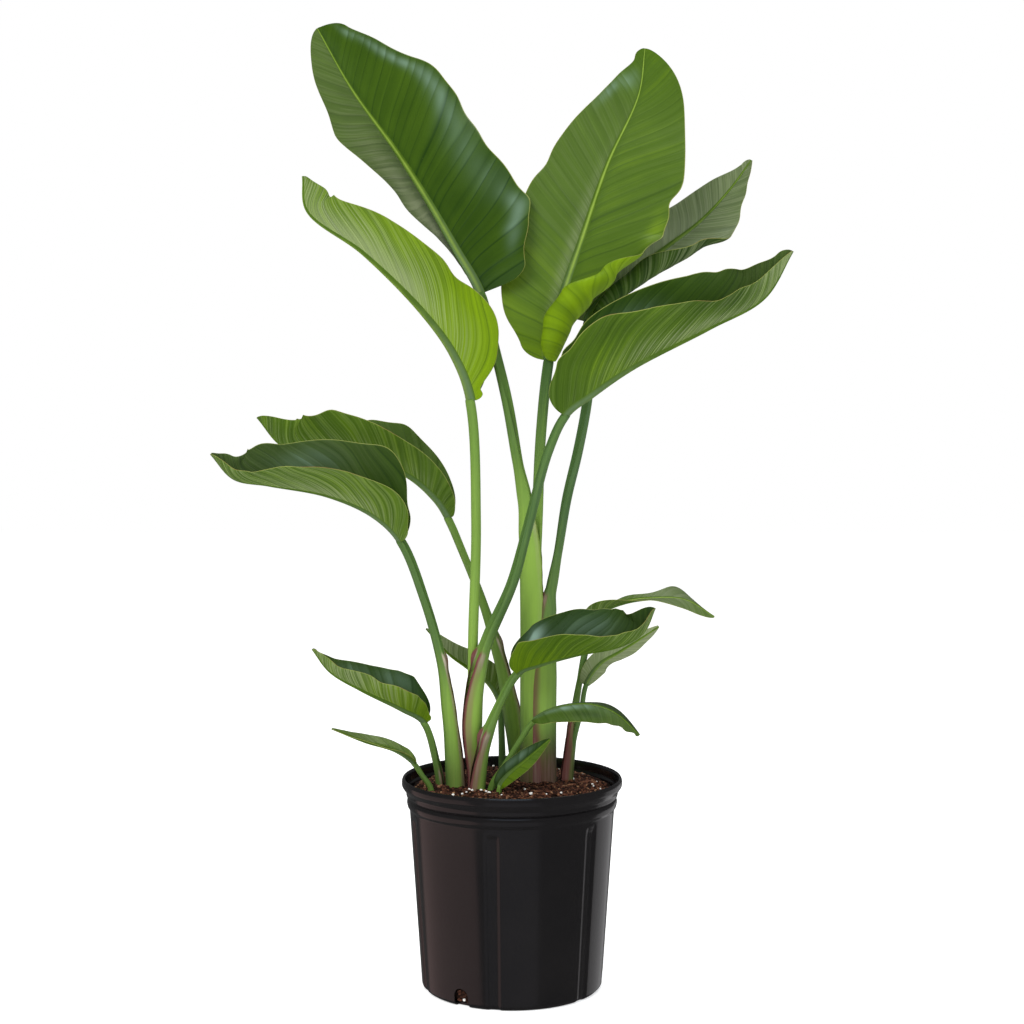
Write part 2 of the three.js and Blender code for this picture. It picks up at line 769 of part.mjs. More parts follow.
// The soil fills the pot to below its rim, heaped a little, with a plain hole for each stalk
function soilGeometry(stalkHoles) {
  const slope = (WALL_TOP_RADIUS - BASE_RADIUS) / WALL_TOP;
  const wallAt = (height) => BASE_RADIUS + slope * height - WALL - GAP - 0.2;
  const profile = [
    [0, FLOOR + GAP],
    [wallAt(FLOOR) - 2, FLOOR + GAP],
    [wallAt(40), 40],
    [wallAt(WALL_TOP - 12) - 0.7, WALL_TOP - 12],
    [WALL_TOP_RADIUS - WALL - 1.2, WALL_TOP - 1],
    [120.5, WALL_TOP + 4],
    [121.4, SOIL_LEVEL - 5],
    [112, SOIL_LEVEL - 2],
    [92, SOIL_LEVEL],
    [50, SOIL_LEVEL + 1],
    [0, SOIL_LEVEL + 2],
  ];
  const geometry = spun(profile, potRadius);
  const position = geometry.getAttribute("position");
  for (let i = 0; i < position.count; i++) {
    const x = position.getX(i);
    const y = position.getY(i);
    const z = position.getZ(i);
    if (z < SOIL_LEVEL - 3) continue;
    const bumps = 1.2 * Math.sin(x / 13 + 1) * Math.cos(y / 11) + 0.8 * Math.sin((x + y) / 7);
    position.setZ(i, z + bumps + (SOIL_HEAP * y) / RIM_RADIUS);
  }
  let soil = solidOf(geometry);
  for (const hole of stalkHoles) soil = soil.subtract(hole);
  return geometryOf(soil);
}

function meshOf(name, geometry, kind) {
  const [color, roughness] = COLOURS[kind];
  const material = new THREE.MeshStandardMaterial({ color, roughness, metalness: 0 });
  const mesh = new THREE.Mesh(geometry, material);
  mesh.name = name;
  return mesh;
}

const plant = new THREE.Group();
const lines = new Map(LEAVES.map((leaf) => [leaf.name, new LeafLine(leaf)]));
const grown = new Map([...lines].map(([name, line]) => [name, solidOf(stalkOf(line, GAP + 0.1))]));

for (const leaf of LEAVES) {
  const line = lines.get(leaf.name);
  let stalk = solidOf(stalkOf(line));
  for (const inner of leaf.wraps) stalk = stalk.subtract(grown.get(inner));
  plant.add(meshOf(`leaf_${leaf.name}_stalk`, geometryOf(stalk), "stalk"));
  plant.add(meshOf(`leaf_${leaf.name}_blade`, bladeOf(line), "blade"));
}
plant.add(meshOf("pot", potGeometry(), "pot"));
plant.add(meshOf("soil", soilGeometry(grown.values()), "soil"));

export default plant;
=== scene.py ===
import math

import bmesh
import bpy
import numpy as np
from mathutils import Matrix, Vector


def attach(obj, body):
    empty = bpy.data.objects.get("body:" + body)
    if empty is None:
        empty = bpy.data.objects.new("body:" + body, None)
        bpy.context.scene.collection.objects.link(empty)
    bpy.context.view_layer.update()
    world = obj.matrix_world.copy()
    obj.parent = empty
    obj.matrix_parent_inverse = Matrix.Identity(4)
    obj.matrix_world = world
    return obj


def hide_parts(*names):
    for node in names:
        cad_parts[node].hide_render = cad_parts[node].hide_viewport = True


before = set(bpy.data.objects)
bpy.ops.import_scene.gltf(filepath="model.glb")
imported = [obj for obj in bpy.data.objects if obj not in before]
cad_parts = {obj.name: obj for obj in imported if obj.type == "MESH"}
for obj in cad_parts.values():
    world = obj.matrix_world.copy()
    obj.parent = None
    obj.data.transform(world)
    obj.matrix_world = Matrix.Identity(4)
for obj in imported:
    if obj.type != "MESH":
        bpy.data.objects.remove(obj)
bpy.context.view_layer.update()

# The leaf and pot sizes below are in millimetres, as in the part's source, and a mesh is made in
# metres.
MM = 0.001

# Camera
# The plant was photographed from in front, from just above the middle of its height and looking
# slightly down, so the rim of the pot is a narrow ellipse and the soil just shows behind it.
CAMERA_BACK = 2.3
CAMERA_HEIGHT = 0.716
CAMERA_TILT = math.radians(3.82)
CAMERA_LENS = 69.2

camera = bpy.data.objects.new("camera", bpy.data.cameras.new("camera"))
camera.data.lens = CAMERA_LENS
camera.location = (0, -CAMERA_BACK, CAMERA_HEIGHT)
camera.rotation_euler = (math.pi / 2 - CAMERA_TILT, 0, 0)
bpy.context.collection.objects.link(camera)
bpy.context.scene.camera = camera

# Studio
# A white room with a pale floor, lit by soft boxes at the front left, the front right and above.
# Low cards at the sides and in front lie under the floor, so only the shiny pot mirrors them.
BACKDROP = 1.0
ROOM_LIGHT = 0.55
ROOM_SHINE = 0.10
FLOOR_SIZE = 14.0
FLOOR_COLOUR = (0.93, 0.93, 0.925, 1)
FLOOR_GLOW = 0.52
WHITE = (1, 1, 1, 1)
# Each soft box: its place, its size, its watts, its colour and whether glossy things mirror it
SOFT_BOXES = {
    "key": ((-1.6, -2.1, 2.5), (1.6, 1.6), 62, (1, 0.985, 0.95), False),
    "fill": ((1.9, -1.7, 2.1), (1.4, 1.8), 26, (0.93, 0.97, 1), False),
    "top": ((0.3, 0.9, 2.9), (2.0, 1.4), 26, (0.95, 0.98, 1), True),
    "window": ((-0.1, -2.0, 2.3), (1.9, 0.8), 9, (0.62, 0.80, 1), True),
    "left_card": ((-2.3, -0.2, -0.8), (4.2, 1.6), 9.5, (1, 0.64, 0.60), True),
    "front_card": ((0.0, -2.3, -0.8), (2.7, 1.6), 1.8, (0.92, 0.88, 1), True),
    "right_card": ((2.2, 2.1, -0.8), (2.6, 1.6), 6, (1, 0.98, 1), True),
}
AIM = Vector((0, 0, 0.65))


def node(tree, kind, inputs=None, **settings):
    """A node whose inputs are linked where a socket is given and set where a value is."""
    made = tree.nodes.new(kind)
    for name, value in settings.items():
        setattr(made, name, value)
    for key, value in (inputs or {}).items():
        if isinstance(value, bpy.types.NodeSocket):
            tree.links.new(value, made.inputs[key])
        else:
            made.inputs[key].default_value = value
    return made


def new_material(name, **sockets):
    """A material with one Principled shader; returns it, its tree and the shader."""
    material = bpy.data.materials.new(name)
    material.use_nodes = True
    tree = material.node_tree
    shader = tree.nodes["Principled BSDF"]
    for socket, value in sockets.items():
        shader.inputs[socket.replace("_", " ").title().replace("Ior", "IOR")].default_value = value
    return material, tree, shader


def build_studio():
    scene = bpy.context.scene
    scene.view_settings.view_transform = "Standard"
    scene.view_settings.look = "None"
    scene.world = bpy.data.worlds.new("white_room")
    scene.world.use_nodes = True
    tree = scene.world.node_tree
    ray = node(tree, "ShaderNodeLightPath").outputs
    mirrored = node(tree, "ShaderNodeMix", {0: ray["Is Glossy Ray"], 2: ROOM_LIGHT, 3: ROOM_SHINE})
    seen = node(tree, "ShaderNodeMix", {0: ray["Is Camera Ray"], 2: mirrored.outputs[0], 3: BACKDROP})
    tree.links.new(seen.outputs[0], tree.nodes["Background"].inputs["Strength"])
    tree.nodes["Background"].inputs["Color"].default_value = WHITE

    for name, (place, size, watts, colour, shows) in SOFT_BOXES.items():
        lamp = bpy.data.lights.new(name, "AREA")
        lamp.shape = "RECTANGLE"
        lamp.size, lamp.size_y = size
        lamp.energy = watts
        lamp.color = colour
        light = bpy.data.objects.new(name, lamp)
        light.visible_camera = False
        light.visible_glossy = shows
        light.location = place
        light.rotation_euler = (AIM - light.location).to_track_quat("-Z", "Y").to_euler()
        bpy.context.collection.objects.link(light)

    half = FLOOR_SIZE / 2
    corners = [(-half, -half, 0), (half, -half, 0), (half, half, 0), (-half, half, 0)]
    ground = bpy.data.meshes.new("floor")
    ground.from_pydata(corners, [], [(0, 1, 2, 3)])
    floor = bpy.data.objects.new("floor", ground)
    floor.visible_glossy = False
    paint, _, shader = new_material("pale_floor", base_color=FLOOR_COLOUR, roughness=0.9)
    shader.inputs["Emission Color"].default_value = WHITE
    shader.inputs["Emission Strength"].default_value = FLOOR_GLOW
    ground.materials.append(paint)
    bpy.context.collection.objects.link(floor)


build_studio()

# Pot
# A ten inch nursery pot, blow moulded in thin black plastic, with a rolled lip over two bands,
# six shallow upright channels in its wall and arched drain notches round its base.
POT_HEIGHT = 250
RIM_RADIUS = 130
BASE_RADIUS = 106.5
WALL_TOP_RADIUS = 120.8
WALL_TOP = 213
WALL = 2.2
POT_FLOOR = 3
HEEL = 4
CHANNELS = 6
CHANNEL_DEPTH = 2
CHANNEL_FLAT = 2.6
CHANNEL_EDGE = 4.2
CHANNEL_FADE = (14, 5)
FIRST_CHANNEL = -11
POT_SEGMENTS = 480
POT_WELD = 0.00002
POT_SHARP = 38
SWEEP_RADIUS = 1000
WALL_STEP = 12
CORNER_ROUND = 2.0
BAND_ROUND = 1.6
LINE_ROUND = 0.5
NOTCH_WIDTH = 19
NOTCH_HEIGHT = 22
NOTCH_ANGLES = [-33, 87, 207]
NOTCH_REACH = (-8, 9)
ARCH_STEPS = 16
POT_BLACK = (0.0055, 0.0050, 0.0055, 1)
POT_DUST = (0.018, 0.015, 0.014, 1)


def mesh_object(name, points, faces, edges=()):
    """An object from points in millimetres."""
    mesh = bpy.data.meshes.new(name)
    mesh.from_pydata([tuple(float(v) * MM for v in p) for p in points], edges, faces)
    made = bpy.data.objects.new(name, mesh)
    bpy.context.collection.objects.link(made)
    return made


def maths(tree, operation, first, second=0.0, third=0.0):
    """The result of a Math node, in a shader or a Geometry Nodes tree."""
    return node(tree, "ShaderNodeMath", {0: first, 1: second, 2: third}, operation=operation).outputs[0]


def scaled(tree, value, by, plus=0.0):
    """A value times another, with a third added."""
    return maths(tree, "MULTIPLY_ADD", value, by, plus)


def ranged(tree, value, low, high, to_low=0.0, to_high=1.0):
    """A value carried from one range to another, eased at both ends."""
    made = node(
        tree, "ShaderNodeMapRange",
        {"Value": value, "From Min": low, "From Max": high, "To Min": to_low, "To Max": to_high},
        interpolation_type="SMOOTHSTEP",
    )
    return made.outputs["Result"]


def noise(tree, place, scale, detail):
    """Soft random values from 0 to 1, about their middle."""
    made = node(tree, "ShaderNodeTexNoise", {"Vector": place, "Scale": scale, "Detail": detail})
    return made.outputs["Fac"]


def object_place(tree):
    return node(tree, "ShaderNodeTexCoord").outputs["Object"]


def stretched(tree, place, *scale):
    return node(tree, "ShaderNodeMapping", {"Vector": place, "Scale": scale}).outputs[0]


def blend(tree, share, first, second):
    """A colour between two, held to them outside a share of 0 to 1."""
    return node(tree, "ShaderNodeMix", {0: share, 6: first, 7: second}, data_type="RGBA").outputs[2]


def dress(tree, shader, colour, rough=None, height=None, strength=0.0, distance=0.0):
    """Links what changes over the surface to the shader: colour, roughness and a bump."""
    tree.links.new(colour, shader.inputs["Base Color"])
    if rough:
        tree.links.new(rough, shader.inputs["Roughness"])
    if height:
        values = {"Height": height, "Strength": strength, "Distance": distance}
        bump = node(tree, "ShaderNodeBump", values)
        tree.links.new(bump.outputs[0], shader.inputs["Normal"])


def new_tree(name, sockets):
    """A Geometry Nodes tree that takes and gives geometry; returns it, its inputs and its output."""
    tree = bpy.data.node_groups.new(name, "GeometryNodeTree")
    tree.interface.new_socket("Geometry", in_out="INPUT", socket_type="NodeSocketGeometry")
    for socket, kind in sockets.items():
        tree.interface.new_socket(socket, in_out="INPUT", socket_type=f"NodeSocket{kind}")
    tree.interface.new_socket("Geometry", in_out="OUTPUT", socket_type="NodeSocketGeometry")
    return tree, node(tree, "NodeGroupInput").outputs, node(tree, "NodeGroupOutput").inputs


def end_tree(tree, geometry, material, result):
    """Makes instances real, gives them their material and hands the geometry out."""
    real = node(tree, "GeometryNodeRealizeInstances", {"Geometry": geometry})
    painted = node(tree, "GeometryNodeSetMaterial", {"Geometry": real.outputs[0], "Material": material})
    tree.links.new(painted.outputs[0], result["Geometry"])
    return tree


def grow(thing, tree, values):
    """Runs a tree on an object with these inputs and keeps the result as its plain mesh."""
    modifier = thing.modifiers.new(tree.name, "NODES")
    modifier.node_group = tree
    for item in tree.interface.items_tree:
        if item.item_type == "SOCKET" and item.in_out == "INPUT" and item.name in values:
            modifier[item.identifier] = values[item.name]
    return keep_result(thing)


def keep_result(thing):
    """Replaces an object's mesh by what its modifiers make of it, and removes them."""
    shape = thing.evaluated_get(bpy.context.evaluated_depsgraph_get())
    mesh = bpy.data.meshes.new_from_object(shape)
    thing.modifiers.clear()
    thing.data = mesh
    return thing


def pot_material():
    """Glossy black plastic with faint streaks down the wall and a little dust."""
    material, tree, shader = new_material("black_plastic", specular_ior_level=0.5)
    place = object_place(tree)
    drawn = noise(tree, stretched(tree, place, 1, 1, 0.06), 62, 3)
    cloud = noise(tree, place, 9, 4)
    grain = noise(tree, place, 900, 2)
    specks = noise(tree, place, 320, 5)
    dusty = scaled(tree, ranged(tree, specks, 0.60, 0.74), ranged(tree, cloud, 0.42, 0.66))
    share = scaled(tree, ranged(tree, cloud, 0.35, 0.75), 0.16, scaled(tree, dusty, 0.2))
    rough = scaled(tree, drawn, 0.06, scaled(tree, cloud, 0.08, 0.10))
    rough = maths(tree, "ADD", rough, scaled(tree, dusty, 0.08))
    height = scaled(tree, drawn, 1.0, scaled(tree, grain, 0.05))
    colour = blend(tree, share, POT_BLACK, POT_DUST)
    dress(tree, shader, colour, rough, height, strength=0.16, distance=0.0006)
    return material


def pot_tree():
    """Spins the pot's profile round its axis and presses the channels into the wall."""
    tree, value, result = new_tree("spun_pot", {
        "Segments": "Int", "Channels": "Int", "Channel Depth": "Float", "Channel Flat": "Float",
        "Channel Edge": "Float", "First Channel": "Float", "Fade From": "Float", "Fade To": "Float",
        "Material": "Material",
    })
    profile = node(tree, "GeometryNodeMeshToCurve", {"Mesh": value["Geometry"]}).outputs[0]
    circle = node(tree, "GeometryNodeCurvePrimitiveCircle", {
        "Resolution": value["Segments"], "Radius": SWEEP_RADIUS * MM,
    })
    wall = node(tree, "GeometryNodeCurveToMesh", {"Curve": circle.outputs[0], "Profile Curve": profile})
    closed = node(tree, "GeometryNodeMergeByDistance", {
        "Geometry": wall.outputs[0], "Distance": POT_WELD,
    })

    position = node(tree, "GeometryNodeInputPosition").outputs[0]
    at = node(tree, "ShaderNodeSeparateXYZ", {0: position}).outputs
    radius = maths(tree, "SQRT", scaled(tree, at["X"], at["X"], scaled(tree, at["Y"], at["Y"])))
    round_angle = maths(tree, "ARCTAN2", at["X"], scaled(tree, at["Y"], -1.0))
    pitch = maths(tree, "DIVIDE", 2 * math.pi, value["Channels"])
    from_first = maths(tree, "SUBTRACT", round_angle, value["First Channel"])
    within = maths(tree, "FLOORED_MODULO", scaled(tree, pitch, 0.5, from_first), pitch)
    off = maths(tree, "ABSOLUTE", scaled(tree, pitch, -0.5, within))
    pressed = ranged(tree, off, value["Channel Flat"], value["Channel Edge"], 1.0, 0.0)
    low_down = ranged(tree, at["Z"], value["Fade From"], value["Fade To"], 1.0, 0.0)
    off_axis = ranged(tree, radius, 0.02, 0.03)
    depth = scaled(tree, scaled(tree, pressed, low_down), value["Channel Depth"])
    share = maths(tree, "DIVIDE", scaled(tree, depth, off_axis), maths(tree, "MAXIMUM", radius, 0.001))
    inwards = node(tree, "ShaderNodeCombineXYZ", {
        axis: scaled(tree, scaled(tree, at[axis], share), -1.0) for axis in ("X", "Y")
    })
    moved = node(tree, "GeometryNodeSetPosition", {
        "Geometry": closed.outputs[0], "Offset": inwards.outputs[0],
    })
    return end_tree(tree, moved.outputs[0], value["Material"], result)


def rounded(points, corners, steps=5):
    """A profile with a small round at each corner named by its place in the list."""
    made = []
    for i, point in enumerate(points):
        if i not in corners:
            made.append(point)
            continue
        here = np.array(point, float)
        ends = [np.array(points[i + way], float) - here for way in (-1, 1)]
        lengths = [np.linalg.norm(end) for end in ends]
        reach = min(corners[i], 0.45 * min(lengths))
        first, last = (here + end * reach / length for end, length in zip(ends, lengths))
        for k in range(steps + 1):
            t = k / steps
            made.append(tuple((1 - t) ** 2 * first + 2 * t * (1 - t) * here + t * t * last))
    return made


def wall_radius(height):
    """The pot's outer radius at a height, between its channels."""
    return BASE_RADIUS + (WALL_TOP_RADIUS - BASE_RADIUS) / WALL_TOP * height


def notch_cutter(angle):
    """An upright arch through the wall at an angle from the front, started below the floor."""
    half = NOTCH_WIDTH / 2
    arch = [(-half, -5), (half, -5)]
    for k in range(ARCH_STEPS + 1):
        turn = math.pi * k / ARCH_STEPS
        arch.append((half * math.cos(turn), NOTCH_HEIGHT - half + half * math.sin(turn)))
    n = len(arch)
    points = [(x, -BASE_RADIUS + reach, z) for reach in NOTCH_REACH for x, z in arch]
    faces = [tuple(range(n)), tuple(reversed(range(n, 2 * n)))]
    faces += [((k + 1) % n, k, n + k, n + (k + 1) % n) for k in range(n)]
    cutter = mesh_object("notch_cutter", points, faces)
    cutter.data.transform(Matrix.Rotation(math.radians(angle), 4, "Z"))
    return cutter


def build_pot():
    heights = [*range(WALL_STEP, WALL_TOP - 21, WALL_STEP), *range(WALL_TOP - 18, WALL_TOP, 3)]
    outside = [(wall_radius(z), z) for z in heights]
    inside = [(r - WALL, z) for r, z in reversed(outside)]
    # The two bands, the lip with its fine lines, and down inside, each as a radius and a height
    bands = [
        (WALL_TOP_RADIUS, WALL_TOP), (123.2, WALL_TOP + 3), (124.2, 221.5), (123.4, 224.6),
        (121.6, 226.8), (124.6, 228.2), (125.2, 233.5), (127.6, 237.0), (RIM_RADIUS, 240.5),
        (RIM_RADIUS, 246.5), (128.4, POT_HEIGHT), (126.2, 249), (125.3, 246.5), (124.6, 238),
        (122.7, 235), (122.2, 229.5), (119.8, 227), (121.4, 222), (121.2, WALL_TOP + 3),
        (WALL_TOP_RADIUS - WALL, WALL_TOP - 1),
    ]
    profile = [(0, 0), (BASE_RADIUS - HEEL, 0), (wall_radius(HEEL), HEEL)] + outside + bands + inside
    profile += [(wall_radius(POT_FLOOR) - WALL, POT_FLOOR), (0, POT_FLOOR)]
    first_band = 3 + len(outside)
    soft = dict.fromkeys((1, 2, len(profile) - 2), CORNER_ROUND)
    soft.update(dict.fromkeys(range(first_band, first_band + len(bands)), BAND_ROUND))
    soft.update(dict.fromkeys((first_band + 3, first_band + 4), LINE_ROUND))
    profile = rounded(profile, soft)

    # The tree sweeps the profile along a wide circle, so its points are measured from there
    flat = [(r - SWEEP_RADIUS, -z, 0) for r, z in profile]
    pot = mesh_object("pot_shell", flat, [], [(k, k + 1) for k in range(len(flat) - 1)])
    grow(pot, pot_tree(), {
        "Segments": POT_SEGMENTS, "Channels": CHANNELS, "Channel Depth": CHANNEL_DEPTH * MM,
        "Channel Flat": math.radians(CHANNEL_FLAT), "Channel Edge": math.radians(CHANNEL_EDGE),
        "First Channel": math.radians(FIRST_CHANNEL), "Fade From": (WALL_TOP - CHANNEL_FADE[0]) * MM,
        "Fade To": (WALL_TOP - CHANNEL_FADE[1]) * MM, "Material": pot_material(),
    })
    face_out(pot)
    for angle in NOTCH_ANGLES:
        cutter = notch_cutter(angle)
        face_out(cutter)
        cut = pot.modifiers.new("notch", "BOOLEAN")
        cut.operation = "DIFFERENCE"
        cut.solver = "MANIFOLD"
        cut.object = cutter
        keep_result(pot)
        bpy.data.objects.remove(cutter)
    pot.data.shade_smooth()
    pot.data.set_sharp_from_angle(angle=math.radians(POT_SHARP))
    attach(pot, "root")
    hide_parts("pot")


def face_out(thing):
    """Turns every face of a closed mesh outwards."""
    shape = bmesh.new()
    shape.from_mesh(thing.data)
    bmesh.ops.recalc_face_normals(shape, faces=shape.faces)
    shape.to_mesh(thing.data)
    shape.free()


build_pot()
